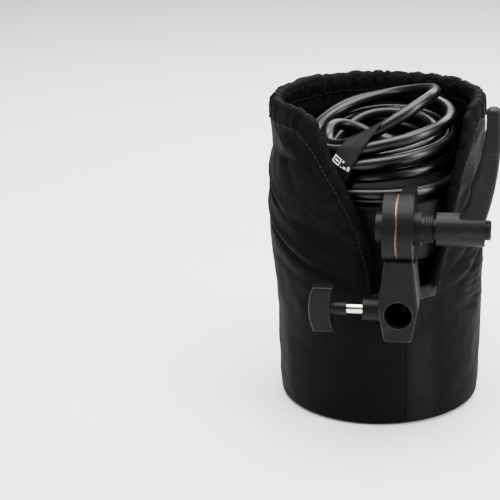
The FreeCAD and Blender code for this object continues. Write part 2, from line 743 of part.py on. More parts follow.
def coil_and_plug():
    """Coiled cable, the plug at its end and the strap round it."""
    part("cord_coil", coil_ring("cord_coil"))
    body = "dims.plug_radius"
    end = "dims.plug_end"
    face = f"{end} - dims.plug_length"
    part("cable_plug", turned("cable_plug", [
        (face, "0"),
        (face, f"{body} - dims.plug_edge"),
        (f"{face} + dims.plug_edge", body),
        (f"{end} - dims.plug_grip", body),
        (f"{end} - dims.plug_grip + 3", "dims.plug_neck"),
        (end, "dims.cord_radius + dims.cord_collar"),
        (end, "0"),
    ], at=("0", "dims.plug_y", "dims.plug_height"), lie=True))
    pins = []
    for name, aside, up in (("left", -1, -0.6), ("right", 1, -0.6), ("top", 0, 1.1)):
        at = (f"dims.plug_y + {aside} * dims.pin_aside", f"dims.plug_height + {up} * dims.pin_aside")
        pins.append(rod(f"plug_pin_{name}", "dims.pin_radius", f"{face} - dims.pin_length", face, at, "X"))
    part("plug_pins", group("plug_pins", *pins))
    half, skin = "dims.strap_width / 2", "dims.strap_thickness"
    low = (f"-{half}", f"-dims.coil_outer - {skin}", "dims.head_top + dims.face_gap")
    high = (half, f"-dims.coil_inner + 2 * {skin}", f"dims.coil_high + {skin}")
    band = cut("cable_strap", box("strap_block", low, high), coil_ring("strap_room"))
    part("cable_strap", place(band, turn="dims.strap_turn"))


# ---- tilt arm, lever and stud screw ---------------------------------------------------------

def arm_block():
    """Arm that swings on the bolt: its disc, the stud block and the screw's boss."""
    body = doc.addObject("PartDesign::Body", "arm_block")
    outline = draw(sketch_on(body, "block_outline", "XZ_Plane", "-dims.block_front"), [
        ("dims.block_low_left", "dims.block_low"),
        ("dims.block_low_right", "dims.block_low"),
        ("dims.block_right", "dims.block_waist"),
        ("dims.block_top_right", "dims.block_top"),
        ("dims.block_top_left", "dims.block_top"),
        ("dims.block_left", "dims.block_waist"),
    ])
    block = feature(body, "Pad", "block_pad", outline, Length="dims.block_back - dims.block_front")
    block.Reversed = True
    front = number("dims.block_front")
    top = number("dims.block_top")
    soften(body, "block_top_bevel", "Chamfer", number("dims.block_bevel"),
           lambda middle, edge: abs(middle.y - front) < 0.1 and abs(middle.z - top) < 0.1)
    soften(body, "block_corners", "Fillet", number("dims.block_corner"),
           lambda middle, edge: front + 1 < middle.y < number("dims.block_back") - 1
           and middle.z < top - 1 and edge.BoundBox.YLength > 15)
    soften(body, "block_edges", "Chamfer", number("dims.block_edge"),
           lambda middle, edge: abs(middle.y - front) < 0.1 and middle.z < top - 6)
    centre = ("dims.arm_y", "dims.arm_z")
    disc = draw_circle(sketch_on(body, "disc_circle", "YZ_Plane", "dims.arm_disc_low"),
                       "dims.disc_radius", centre)
    feature(body, "Pad", "disc_pad", disc, Length="dims.arm_disc_high - dims.arm_disc_low")
    room = draw_circle(sketch_on(body, "lug_room_circle", "YZ_Plane", "dims.arm_disc_high"),
                       "dims.saddle_cut", centre)
    hollow = feature(body, "Pocket", "lug_room", room, Length="dims.block_right")
    hollow.Reversed = True
    boss = draw_circle(sketch_on(body, "boss_circle", "YZ_Plane", "dims.boss_low"),
                       "dims.boss_radius", ("dims.screw_y", "dims.stud_z"))
    feature(body, "Pad", "boss_pad", boss, Length="dims.stud_x - dims.stud_radius - dims.boss_low")
    for name, radius, plane, offset, at, length in (
        ("pivot_bore", "dims.bolt_radius + dims.running_gap", "YZ_Plane", "dims.arm_disc_low - 1",
         centre, "dims.block_right"),
        ("screw_bore", "dims.screw_radius + dims.running_gap", "YZ_Plane", "dims.boss_low - 1",
         ("dims.screw_y", "dims.stud_z"), "dims.stud_x - dims.boss_low"),
        ("stud_bore", "dims.stud_radius", "XZ_Plane", "-dims.block_front + 1",
         ("dims.stud_x", "dims.stud_z"), "dims.block_back - dims.block_front + 2"),
    ):
        circle = draw_circle(sketch_on(body, f"{name}_circle", plane, offset), radius, at)
        hole = feature(body, "Pocket", name, circle, Length=length)
        hole.Reversed = plane == "YZ_Plane"
    doc.recompute()
    part("arm_block", body)


def clamp_nut():
    """Hub of the clamp lever: threaded on the bolt, splined where the handle grips it."""
    gap = "dims.running_gap"
    bolt_room = f"(dims.bolt_radius + {gap})"
    start = "dims.collar_high + dims.face_gap"
    part("clamp_nut", turned("clamp_nut", [
        (start, bolt_room),
        (start, "dims.hub_radius"),
        ("dims.hub_high", "dims.hub_radius"),
        ("dims.hub_high", "dims.spline_radius"),
        ("dims.spline_high", "dims.spline_radius"),
        ("dims.spline_high", "dims.handle_screw_radius"),
        ("dims.bolt_end + dims.bolt_gap", "dims.handle_screw_radius"),
        ("dims.bolt_end + dims.bolt_gap", bolt_room),
    ], at=("0", "dims.arm_y", "dims.arm_z"), lie=True))
    part("handle_screw", turned("handle_screw", [
        ("dims.bolt_end + dims.bolt_gap", "0"),
        ("dims.bolt_end + dims.bolt_gap", "dims.handle_screw_radius"),
        ("dims.handle_head_low", "dims.handle_screw_radius"),
        ("dims.handle_head_low", "dims.handle_screw_head"),
        ("dims.handle_head_high - dims.handle_head_bevel", "dims.handle_screw_head"),
        ("dims.handle_head_high", "dims.handle_screw_head - dims.handle_head_bevel"),
        ("dims.handle_head_high", "0"),
    ], at=("0", "dims.arm_y", "dims.arm_z"), lie=True))


def lever_handle():
    """Barrel with the splined socket, the screw's well and the curved blade."""
    body = doc.addObject("PartDesign::Body", "lever_handle")
    blade = draw(sketch_on(body, "blade_outline", "XZ_Plane"), [
        ("dims.blade_foot_left", "0"),
        ("dims.blade_foot_right", "0"),
        ("dims.blade_foot_right", "dims.blade_foot_height", "dims.blade_outer_curve"),
        ("dims.blade_tip_right", "dims.blade_tip_height", "dims.blade_tip_round"),
        ("dims.blade_tip_left", "dims.blade_tip_height", "-dims.blade_inner_curve"),
        ("dims.blade_neck_left", "dims.blade_neck_height", "-dims.blade_neck_curve"),
        ("dims.blade_foot_left", "dims.blade_foot_height"),
    ])
    slab = feature(body, "Pad", "blade_pad", blade, Length="dims.blade_depth")
    slab.SideType = "Symmetric"
    face = number("dims.blade_depth") / 2
    soften(body, "blade_edges", "Fillet", number("dims.blade_edge"),
           lambda middle, edge: abs(abs(middle.y) - face) < 0.1
           and middle.z > number("dims.blade_edge_start"))
    barrel = draw_circle(sketch_on(body, "barrel_circle", "YZ_Plane", "dims.barrel_low"),
                         "dims.barrel_radius")
    feature(body, "Pad", "barrel_pad", barrel, Length="dims.barrel_high - dims.barrel_low")
    gap = "dims.running_gap"
    for name, radius, start, end in (
        ("spline_socket", f"dims.spline_radius + {gap}", "dims.barrel_low - 1", "dims.web_low"),
        ("screw_hole", f"dims.handle_screw_radius + {gap}", "dims.web_low - 1", "dims.web_high + 1"),
        ("screw_well", f"dims.handle_screw_head + {gap}", "dims.web_high", "dims.barrel_high + 1"),
    ):
        circle = draw_circle(sketch_on(body, f"{name}_circle", "YZ_Plane", start), radius)
        hole = feature(body, "Pocket", name, circle, Length=f"{end} - ({start})")
        hole.Reversed = True
    place(body, ("0", "dims.arm_y", "dims.arm_z"))
    part("lever_handle", body)


def handle_spring():
    """Spring between the handle's web and the screw's head; it draws the handle onto the hub."""
    helix = doc.addObject("Part::Helix", "spring_line")
    bind(helix, Radius="dims.spring_radius", Pitch="dims.spring_pitch")
    bind(helix, Height="dims.handle_head_low - dims.web_high - 2 * (dims.spring_wire + dims.face_gap)")
    wire = doc.addObject("Part::Circle", "spring_section")
    bind(wire, Radius="dims.spring_wire")
    wire.Placement = Placement(Vector(), Rotation(Vector(1, 0, 0), 90))
    place(wire, ("dims.spring_radius", "0", "0"))
    spring = doc.addObject("Part::Sweep", "handle_spring")
    spring.Sections = [wire]
    spring.Spine = (helix, [])
    spring.Solid = True
    spring.Frenet = True
    spring.Placement = Placement(Vector(), LIE_ALONG["X"])
    place(spring, ("dims.web_high + dims.spring_wire + dims.face_gap", "dims.arm_y", "dims.arm_z"))
    part("handle_spring", spring)


def stud_screw():
    """Locking screw with its T-knob and the pad that turns on its tip."""
    at = ("0", "dims.screw_y", "dims.stud_z")
    part("stud_screw", turned("stud_screw", [
        ("dims.screw_low", "0"),
        ("dims.screw_low", "dims.screw_radius"),
        ("dims.screw_tip", "dims.screw_radius"),
        ("dims.screw_tip", "dims.pivot_tip_radius"),
        ("dims.pivot_tip_high", "dims.pivot_tip_radius"),
        ("dims.pivot_tip_high", "0"),
    ], at=at, lie=True))
    seat = "(dims.pivot_tip_radius + dims.running_gap)"
    start = "dims.screw_tip + dims.face_gap"
    part("thrust_pad", turned("thrust_pad", [
        (start, seat),
        (start, "dims.screw_radius"),
        ("dims.pad_high", "dims.screw_radius"),
        ("dims.pad_high", "0"),
        ("dims.pivot_tip_high + dims.face_gap", "0"),
        ("dims.pivot_tip_high + dims.face_gap", seat),
    ], at=at, lie=True))

    body = doc.addObject("PartDesign::Body", "knob")
    outline = draw(sketch_on(body, "knob_outline", "XZ_Plane"), [
        ("dims.knob_left", "-dims.knob_half"),
        ("dims.knob_right", "-dims.knob_half"),
        ("dims.knob_shoulder", "-dims.stem_radius"),
        ("dims.knob_shoulder", "dims.stem_radius"),
        ("dims.knob_right", "dims.knob_half"),
        ("dims.knob_left", "dims.knob_half", "dims.knob_crown"),
    ])
    slab = feature(body, "Pad", "knob_pad", outline, Length="dims.knob_depth")
    slab.SideType = "Symmetric"
    soften(body, "knob_edges", "Fillet", number("dims.knob_edge"),
           lambda middle, edge: abs(abs(middle.y) - number("dims.knob_depth") / 2) < 0.1)
    stem = draw_circle(sketch_on(body, "stem_circle", "YZ_Plane", "dims.knob_left + dims.stem_start"),
                       "dims.stem_radius")
    feature(body, "Pad", "stem_pad", stem, Length="dims.stem_high - dims.knob_left - dims.stem_start")
    hole = draw_circle(sketch_on(body, "knob_hole_circle", "YZ_Plane", "dims.screw_low"),
                       "dims.screw_radius")
    bore = feature(body, "Pocket", "knob_hole", hole, Length="dims.stem_high - dims.screw_low + 1")
    bore.Reversed = True
    place(body, at)
    part("knob", body)


# ---- build, check and write -----------------------------------------------------------------

sleeve_walls()
slot_hems()
rim()
base()
front_seam()
head_shell()
head_insides()
tilt_lug()
tilt_stack()
cable_gland()
cord_lead()
coil_and_plug()
arm_block()
clamp_nut()
lever_handle()
handle_spring()
stud_screw()
doc.recompute()

faults = []
for item in doc.Objects:
    if any(state in ("Invalid", "Error") for state in item.State):
        faults.append(f"{item.Name}: {item.State}")
for item in parts:
    if item.Shape.isNull() or not item.Shape.isValid() or not item.Shape.Solids:
        faults.append(f"{item.Label}: no valid shape")
if faults:
    raise SystemExit("\n".join(faults))

os.makedirs("parts", exist_ok=True)
for item in parts:
    item.Shape.exportStep(f"parts/{item.Label}.step")
    bounds = item.Shape.BoundBox
    print(f"{item.Label:20} {len(item.Shape.Solids)} {item.Shape.Volume / 1000:9.3f} cm3",
          f"x {bounds.XMin:.1f} {bounds.XMax:.1f}  y {bounds.YMin:.1f} {bounds.YMax:.1f}",
          f" z {bounds.ZMin:.1f} {bounds.ZMax:.1f}")
print(len(parts), "parts")
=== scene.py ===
"""Looks of the padded sleeve and the flash head that stands in it.

Metres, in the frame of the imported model: +Z up, origin at the centre of the sleeve's base.
Angles round the sleeve are counted from -Y, positive towards +X; "across" is measured from
the front seam.
"""
import json
import math
import random

import bmesh
import bpy
import numpy as np
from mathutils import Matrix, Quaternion, Vector, noise
from mathutils.bvhtree import BVHTree


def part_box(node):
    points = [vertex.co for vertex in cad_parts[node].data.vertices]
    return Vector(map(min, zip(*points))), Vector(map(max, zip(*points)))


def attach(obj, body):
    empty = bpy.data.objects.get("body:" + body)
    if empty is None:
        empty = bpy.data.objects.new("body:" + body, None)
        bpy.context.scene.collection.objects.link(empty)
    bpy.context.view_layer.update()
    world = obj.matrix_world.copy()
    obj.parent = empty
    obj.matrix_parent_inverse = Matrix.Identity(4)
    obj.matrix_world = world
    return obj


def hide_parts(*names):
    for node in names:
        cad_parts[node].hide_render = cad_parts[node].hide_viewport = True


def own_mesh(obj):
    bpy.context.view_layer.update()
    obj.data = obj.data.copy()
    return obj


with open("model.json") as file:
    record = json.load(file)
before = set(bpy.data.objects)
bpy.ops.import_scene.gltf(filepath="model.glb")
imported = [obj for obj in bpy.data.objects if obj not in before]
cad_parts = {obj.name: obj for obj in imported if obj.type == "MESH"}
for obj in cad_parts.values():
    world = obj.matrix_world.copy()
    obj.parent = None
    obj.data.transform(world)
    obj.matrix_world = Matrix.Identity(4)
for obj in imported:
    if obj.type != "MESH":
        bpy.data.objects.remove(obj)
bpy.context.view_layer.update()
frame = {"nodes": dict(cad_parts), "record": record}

MM = 0.001
DICE = random.Random(516)


# ---- camera ---------------------------------------------------------------------------------

CAMERA_TURN = 5.0
CAMERA_RISE = 18.55
CAMERA_DISTANCE = 1.0
CAMERA_TARGET = Vector((0, 0, 0.105))
LENS = 111.8
PAN_LEFT = 4.75      # the object stands right of the middle of the picture
PITCH_DOWN = 0.58


def add_camera():
    turn, rise = math.radians(CAMERA_TURN), math.radians(CAMERA_RISE)
    back = Vector((math.sin(turn) * math.cos(rise), -math.cos(turn) * math.cos(rise), math.sin(rise)))
    data = bpy.data.cameras.new("camera")
    data.lens = LENS
    camera = bpy.data.objects.new("camera", data)
    bpy.context.scene.collection.objects.link(camera)
    camera.location = CAMERA_TARGET + back * CAMERA_DISTANCE
    aim = (-back).to_track_quat("-Z", "Y")
    pan = Quaternion((0, 1, 0), math.radians(PAN_LEFT))
    pitch = Quaternion((1, 0, 0), math.radians(-PITCH_DOWN))
    camera.rotation_mode = "QUATERNION"
    camera.rotation_quaternion = aim @ pan @ pitch
    bpy.context.scene.camera = camera


add_camera()


# ---- mesh helpers ---------------------------------------------------------------------------

def link(name, data, *materials):
    thing = bpy.data.objects.new(name, data)
    bpy.context.scene.collection.objects.link(thing)
    for material in materials:
        data.materials.append(material)
    return thing


def mesh_piece(name, points, faces, *materials, smooth=True):
    """A mesh object from points and faces, with its normals turned outward."""
    mesh = bpy.data.meshes.new(name)
    mesh.from_pydata([tuple(p) for p in points], [], faces)
    shape = bmesh.new()
    shape.from_mesh(mesh)
    bmesh.ops.recalc_face_normals(shape, faces=shape.faces)
    shape.to_mesh(mesh)
    shape.free()
    mesh.polygons.foreach_set("use_smooth", [smooth] * len(mesh.polygons))
    return link(name, mesh, *materials)


def tube_faces(rings, around, closed_path=False):
    """Quads that join rings of points; an open path gets a fan of its end rings."""
    faces = []
    for ring in range(rings if closed_path else rings - 1):
        here, there = ring * around, (ring + 1) % rings * around
        for side in range(around):
            after = (side + 1) % around
            faces.append((here + side, here + after, there + after, there + side))
    if not closed_path:
        faces.append(tuple(range(around)))
        faces.append(tuple(range((rings - 1) * around, rings * around)))
    return faces


def circle(count):
    """Angles of evenly spaced points, once round."""
    return [2 * math.pi * side / count for side in range(count)]


def belongs(piece, body, slot, *nodes, fill=None):
    """Makes a piece move with its body and hides the CAD nodes it stands for; slot and fill are not used."""
    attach(piece, body)
    if nodes:
        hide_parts(*nodes)


def walk(sizes):
    """Distance walked at every point of a line, from the sizes of its steps."""
    return np.concatenate([[0], np.cumsum(sizes)])


def smoothstep(value, low, high):
    part = np.clip((value - low) / (high - low), 0, 1)
    return part * part * (3 - 2 * part)


def curve_through(levels, values, at):
    """Smooth curve through a few points, flat or straight between them without overshoot."""
    levels, values = np.asarray(levels, float), np.asarray(values, float)
    slopes = np.diff(values) / np.diff(levels)
    tangents = np.concatenate([[slopes[0]], (slopes[1:] + slopes[:-1]) / 2, [slopes[-1]]])
    at = np.clip(at, levels[0], levels[-1])
    span = np.clip(np.searchsorted(levels, at) - 1, 0, len(slopes) - 1)
    step = levels[span + 1] - levels[span]
    t = (at - levels[span]) / step
    start = (1 + 2 * t) * (1 - t) ** 2 * values[span] + t * (1 - t) ** 2 * step * tangents[span]
    end = t * t * (3 - 2 * t) * values[span + 1] + t * t * (t - 1) * step * tangents[span + 1]
    return start + end


# ---- material helpers -----------------------------------------------------------------------

class Graph:
    """A material's node tree with short ways to add to it."""

    def __init__(self, name, **sockets):
        self.material = bpy.data.materials.new(name)
        self.material.use_nodes = True
        self.tree = self.material.node_tree
        self.shader = self.tree.nodes["Principled BSDF"]
        for socket, value in sockets.items():
            self.shader.inputs[socket.replace("_", " ")].default_value = value
        self.place = self.node("ShaderNodeTexCoord", {}, "Object")

    def plug(self, value, socket):
        if isinstance(value, bpy.types.NodeSocket):
            self.tree.links.new(value, socket)
        else:
            socket.default_value = value

    def node(self, kind, inputs, output=0, **settings):
        """Adds a node, plugs its inputs and gives back one of its outputs."""
        made = self.tree.nodes.new(kind)
        for name, value in settings.items():
            setattr(made, name, value)
        for socket, value in inputs.items():
            self.plug(value, made.inputs[socket])
        return made.outputs[output]

    def math(self, operation, first, second=0.0):
        return self.node("ShaderNodeMath", {0: first, 1: second}, operation=operation)

    def noise(self, scale, detail=3.0, roughness=0.55, place=None, warp=0.0):
        return self.node("ShaderNodeTexNoise", {
            "Vector": self.place if place is None else place, "Scale": scale, "Detail": detail,
            "Roughness": roughness, "Distortion": warp})

    def stretch(self, x=1.0, y=1.0, z=1.0):
        return self.node("ShaderNodeMapping", {"Vector": self.place, "Scale": (x, y, z)})

    def span(self, value, low, high, start=0.0, end=1.0):
        """A value from start..end mapped to low..high."""
        return self.node("ShaderNodeMapRange", {
            "Value": value, "From Min": start, "From Max": end, "To Min": low, "To Max": high})

    def blend(self, share, first, second):
        return self.node("ShaderNodeMix", {"Factor": share, 6: first, 7: second}, 2, data_type="RGBA")

    def bump(self, height, distance, strength=1.0):
        """One more layer of relief on top of what the shader has."""
        normal = self.shader.inputs["Normal"]
        inputs = {"Strength": strength, "Distance": distance, "Height": height}
        if normal.is_linked:
            inputs["Normal"] = normal.links[0].from_socket
        self.plug(self.node("ShaderNodeBump", inputs), normal)

    def out(self, socket, value):
        self.plug(value, self.shader.inputs[socket])

    def tint(self, value, start, end, dark, light):
        """Base colour, from dark to light while the value goes from start to end."""
        self.out("Base Color", self.blend(self.span(value, 0, 1, start, end), dark, light))

    def rough(self, value, start, end, low, high):
        self.out("Roughness", self.span(value, low, high, start, end))

    def round_the_sleeve(self):
        """Arc length round the sleeve and height, as two values in metres."""
        x = self.node("ShaderNodeSeparateXYZ", {0: self.place})
        _, y, z = x.node.outputs
        angle = self.math("ARCTAN2", x, self.math("MULTIPLY", y, -1.0))
        return self.math("MULTIPLY", angle, SLEEVE_RADIUS), z


def grey(level, warmth=0.0):
    return (level * (1 + warmth), level, level * (1 - warmth), 1.0)


# ---- sizes from the frame -------------------------------------------------------------------

SHELL_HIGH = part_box("outer_shell")[1]
SLEEVE_RADIUS = SHELL_HIGH.y
INNER_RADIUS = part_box("base_foam")[1].y
WALL_TOP = SHELL_HIGH.z
SLOT_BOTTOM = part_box("slot_facing_bottom")[1].z
SEAM_TURN = math.radians(19.3)
SEAM_PAINTED_HIGHLIGHT = 11 * MM        # painted highlight: the fabric's colour is lightened at this distance right of the seam, where it shines a little


# ---- cable: its route comes first -----------------------------------------------------------

CORD_DIAMETER = 7.5 * MM
# the lead from the boot over the top of the head
LEAD_ROUTE = [
    (-0.0030, 0.0150, 0.1658),
    (-0.0100, 0.0154, 0.1690),
    (-0.0172, 0.0150, 0.1720),
    (-0.0240, 0.0126, 0.1742),
    (-0.0292, 0.0072, 0.1752),
    (-0.0318, -0.0008, 0.1740),
]
COIL_START = 178.0       # degrees from +X, counterclockwise, where the lead joins the first turn
COIL_END = 380.0         # within the last turn, where the cord turns to the plug's tail
COIL_LAYERS = 4
TURNS_IN_LAYER = 2
POINTS_IN_TURN = 18
LOOSE_TURN = 1.05        # the first turn is a loose loop that stands up on the right
COIL_NEAR, COIL_FAR = 0.0325, 0.0495
TAIL_ROUTE = [
    (0.0438, 0.0236, 0.1518),
    (0.0398, 0.0302, 0.1522),
    (0.0345, 0.0353, 0.1524),
    (0.0306, 0.0374, 0.1524),
    (0.0270, 0.0380, 0.1524),
]


def coil_height(level, degrees):
    """Height of a layer's turns: low in front, high over the plug behind, fanned out on the right."""
    turn = math.radians(degrees)
    lowest = 0.1510 + 0.00725 * math.sin(turn) - 0.00305 * math.cos(2 * turn) + 0.00135 * math.cos(turn)
    spread = 0.0092 - 0.0006 * math.sin(turn) + 0.0018 * math.cos(turn)
    spread += 0.0006 * math.cos(2 * turn) - 0.0005 * math.sin(2 * turn)
    return lowest + level * spread


def coil_route():
    """Turns wound in layers from the top down, each layer a spiral in or out; the last one keeps
    to the outside."""
    points = []
    full = (COIL_LAYERS - 1) * TURNS_IN_LAYER
    turns = full + (COIL_END - COIL_START) / 360
    for step in range(1, round(turns * POINTS_IN_TURN) + 1):
        done = step / POINTS_IN_TURN
        degrees = COIL_START + 360 * done
        turn = math.radians(degrees)
        layer = min(int(done / TURNS_IN_LAYER), COIL_LAYERS - 1)
        along = done / TURNS_IN_LAYER - layer
        share = along if layer % 2 == 0 else 1 - along
        if layer == COIL_LAYERS - 1:
            share = 1
        radius = COIL_NEAR + (COIL_FAR - COIL_NEAR) * share
        fall = 0 if layer == COIL_LAYERS - 1 else float(smoothstep(along, 0.90, 1.0))
        height = coil_height(COIL_LAYERS - 1 - layer - fall, degrees)
        if done < LOOSE_TURN:
            loose = math.sin(math.pi * done / LOOSE_TURN) ** 2
            height += loose * (0.009 + 0.008 * math.cos(turn + math.radians(40)))
            radius -= loose * 0.002
        wander = 0.0005 * math.sin(2.3 * done + 1.1) * math.sin(3 * turn + 5 * done)
        radius = min(radius + wander, COIL_FAR)
        points.append((radius * math.cos(turn), radius * math.sin(turn), height))
    return points


def cable_curve(name, route):
    data = bpy.data.curves.new(name, "CURVE")
    data.dimensions = "3D"
    spline = data.splines.new("NURBS")
    spline.points.add(len(route) - 1)
    for point, place in zip(spline.points, route):
        point.co = (*place, 1.0)
    spline.order_u = 3
    spline.use_endpoint_u = True
    spline.resolution_u = 5
    data.bevel_depth = CORD_DIAMETER / 2
    data.bevel_resolution = 5
    data.use_fill_caps = True
    return link(name, data)


CABLE_ROUTE = LEAD_ROUTE + coil_route() + TAIL_ROUTE
cable = cable_curve("cable", CABLE_ROUTE)


# ---- materials ------------------------------------------------------------------------------

def nylon(name, level, rough, shine, weave=1.0, crinkle=1.0):
    """Woven nylon: fine plain weave round the sleeve, soft crinkles, rubbed lighter patches, and a painted
    highlight that lightens the colour in a band right of the front seam.
    """
    graph = Graph(name, Specular_IOR_Level=shine)
    around, up = graph.round_the_sleeve()
    thread = 2 * math.pi / (0.75 * MM)
    warp = graph.math("SINE", graph.math("MULTIPLY", around, thread))
    weft = graph.math("SINE", graph.math("MULTIPLY", up, thread))
    cloth = graph.math("MULTIPLY", warp, weft)
    ribs = graph.noise(150, 2.0, place=graph.stretch(0.35, 0.35, 6.0))
    rubbed = graph.noise(26, 4.0, 0.6)
    crumple = graph.noise(90, 5.0, 0.62, warp=0.8)
    shade = graph.span(rubbed, 0.75, 1.5, 0.3, 0.75)
    fine = graph.span(cloth, 0.86, 1.14, -1, 1)
    # painted highlight: colour lightened up to 2.3 times in a band right of the front seam, fading out 5-12
    # mm to either side and between 60 and 95 mm up
    beside = graph.math("ABSOLUTE", graph.math("SUBTRACT", around, SLEEVE_RADIUS * SEAM_TURN + SEAM_PAINTED_HIGHLIGHT))
    painted_highlight = graph.math("MULTIPLY", graph.span(beside, 1.0, 0.0, 5 * MM, 12 * MM),
                      graph.span(up, 1.0, 0.0, 60 * MM, 95 * MM))
    mix = graph.math("MULTIPLY", graph.math("MULTIPLY", shade, fine), graph.span(painted_highlight, 1.0, 2.3))
    graph.tint(mix, 0.6, 3.6, grey(level * 0.6), grey(level * 4.0, 0.02))
    graph.rough(graph.math("ADD", rubbed, graph.math("MULTIPLY", ribs, 0.4)), 0.45, 1.0, *rough)
    graph.bump(crumple, 0.0009 * crinkle, 0.55)
    graph.bump(ribs, 0.00012, 0.5)
    graph.bump(cloth, 0.00006 * weave, 0.7)
    return graph.material


def thread_finish():
    """Twisted sewing thread."""
    graph = Graph("thread", Roughness=0.6, Specular_IOR_Level=0.12)
    twist = graph.noise(2500, 2.0, place=graph.stretch(1, 1, 0.5))
    graph.out("Base Color", graph.blend(twist, grey(0.003), grey(0.012)))
    graph.bump(twist, 0.00008, 0.6)
    return graph.material


def rubber():
    """Soft PVC of the cable: smooth, with faint scuffs and dust."""
    graph = Graph("cable_rubber", Specular_IOR_Level=0.27)
    scuff = graph.noise(320, 5.0, 0.7)
    dust = graph.noise(45, 3.0)
    graph.tint(dust, 0.45, 0.75, grey(0.002), grey(0.006))
    graph.rough(scuff, 0.3, 0.75, 0.29, 0.36)
    graph.bump(dust, 0.0002, 0.2)
    return graph.material


def moulded(name, level, rough, grain=900):
    """Moulded plastic with fine grain and rubbed patches."""
    graph = Graph(name, Specular_IOR_Level=0.10)
    fine = graph.noise(grain, 3.0, 0.6)
    worn = graph.noise(60, 4.0, 0.65)
    graph.tint(worn, 0.35, 0.75, grey(level * 0.7), grey(level * 1.5))
    graph.rough(worn, 0.3, 0.7, *reversed(rough))
    graph.bump(fine, 0.00006, 0.5)
    return graph.material


def powder_coat(name, level, rough):
    """Powder-coated casting: orange-peel skin, bright rubs where edges catch."""
    graph = Graph(name, Specular_IOR_Level=0.08)
    peel = graph.noise(1400, 2.0, 0.5)
    cast = graph.noise(140, 4.0, 0.6)
    rubs = graph.noise(55, 6.0, 0.75, place=graph.stretch(1.0, 1.0, 2.2))
    graph.tint(rubs, 0.52, 0.8, grey(level), grey(level * 2.6, 0.02))
    graph.rough(rubs, 0.35, 0.75, *reversed(rough))
    graph.bump(cast, 0.00012, 0.5)
    graph.bump(peel, 0.00005, 0.7)
    return graph.material


def bare_metal(name, colour, rough, stain=0.25):
    """Turned or plated metal with fine tool marks and slight tarnish."""
    graph = Graph(name, Metallic=1.0)
    marks = graph.noise(1600, 3.0, 0.6, place=graph.stretch())
    tarnish = graph.noise(240, 5.0, 0.7)
    dark = tuple(c * (1 - stain) for c in colour)
    graph.tint(tarnish, 0.35, 0.7, (*dark, 1), (*colour, 1))
    graph.rough(marks, 0.3, 0.7, rough * 0.75, rough * 1.35)
    graph.bump(marks, 0.00004, 0.5)
    return graph.material


def friction_disc():
    """Pressed copper-brown friction washer with a crumbly edge."""
    graph = Graph("friction_brown", Specular_IOR_Level=0.1)
    fibre = graph.noise(700, 5.0, 0.75, warp=0.6)
    graph.tint(fibre, 0.35, 0.7, (0.020, 0.007, 0.003, 1), (0.22, 0.075, 0.026, 1))
    graph.rough(fibre, 0.3, 0.7, 0.42, 0.7)
    graph.bump(fibre, 0.0002, 0.8)
    return graph.material


def clear_glass():
    graph = Graph("glass", Transmission_Weight=1.0, IOR=1.46)
    smear = graph.noise(60, 4.0, 0.7)
    graph.out("Base Color", graph.blend(smear, (0.93, 0.96, 0.95, 1), (0.99, 1, 0.99, 1)))
    graph.rough(smear, 0.45, 0.8, 0.02, 0.12)
    return graph.material


def webbing():
    """Woven strap: ribs along its length and a slight fuzz."""
    graph = Graph("strap_fabric", Specular_IOR_Level=0.1)
    ribs = graph.noise(2200, 2.0, 0.5, place=graph.stretch(1.0, 1.0, 0.25))
    fuzz = graph.noise(500, 5.0, 0.7)
    graph.tint(fuzz, 0.3, 0.7, grey(0.003), grey(0.009))
    graph.rough(fuzz, 0.3, 0.7, 0.6, 0.85)
    graph.bump(ribs, 0.00015, 0.7)
    graph.bump(fuzz, 0.00015, 0.5)
    return graph.material


def print_ink():
    """Pale screen print, slightly worn."""
    graph = Graph("print_ink", Roughness=0.5)
    worn = graph.noise(1500, 3.0, 0.6)
    graph.tint(worn, 0.3, 0.55, grey(0.42), grey(0.78))
    graph.bump(worn, 0.00003, 0.4)
    return graph.material


SHELL = nylon("nylon", 0.0020, (0.58, 0.74), 0.035)
LINING = nylon("nylon_lining", 0.0030, (0.45, 0.6), 0.06, crinkle=1.4)
SEAM_NYLON = nylon("nylon_seam", 0.0042, (0.36, 0.5), 0.14, weave=1.6, crinkle=0.4)
THREAD = thread_finish()
RUBBER = rubber()
STEEL = bare_metal("bright_steel", (0.72, 0.70, 0.66), 0.22)
# painted shade: a darkened copy of the bright steel for the steel washer, toning down the bright reflection
# along its edge
SHADED_STEEL = bare_metal("shaded_steel", (0.10, 0.094, 0.088), 0.3)
RUBBED_EDGE = bare_metal("rubbed_edge", (0.030, 0.029, 0.028), 0.3)
CREAM_STEEL = bare_metal("plated_steel", (0.93, 0.87, 0.72), 0.2, stain=0.12)

FINISH = {
    "head_black": moulded("head_black", 0.004, (0.45, 0.6)),
    "glass": clear_glass(),
    "reflector": bare_metal("reflector", (0.86, 0.86, 0.85), 0.2, stain=0.08),
    "ceramic": moulded("ceramic", 0.55, (0.5, 0.65)),
    "sheet_aluminium": bare_metal("sheet_aluminium", (0.68, 0.69, 0.70), 0.34),
    "cast_black": powder_coat("cast_black", 0.0038, (0.34, 0.5)),
    "lever_black": powder_coat("lever_black", 0.0062, (0.28, 0.40)),
    "black_screw": powder_coat("black_screw", 0.007, (0.26, 0.4)),
    "bright_steel": STEEL,
    "friction_brown": friction_disc(),
    "brass": bare_metal("brass", (0.78, 0.58, 0.27), 0.25),
    "knob_plastic": moulded("knob_plastic", 0.003, (0.34, 0.5), grain=1300),
    "cable_rubber": RUBBER,
    "strap_fabric": webbing(),
}


def dress_nodes():
    """Gives every CAD node the finish of its slot in the record."""
    slots = {part["node"]: part["material_slot"] for part in frame["record"]["subparts"]}
    # the steel washer takes the darkened steel, which is painted shade
    special = {"stud_screw": CREAM_STEEL, "steel_washer": SHADED_STEEL}
    for name, thing in frame["nodes"].items():
        finish = special.get(name, FINISH.get(slots.get(name)))
        if finish:
            for place in thing.material_slots:
                place.material = finish


dress_nodes()


# ---- sleeve ---------------------------------------------------------------------------------

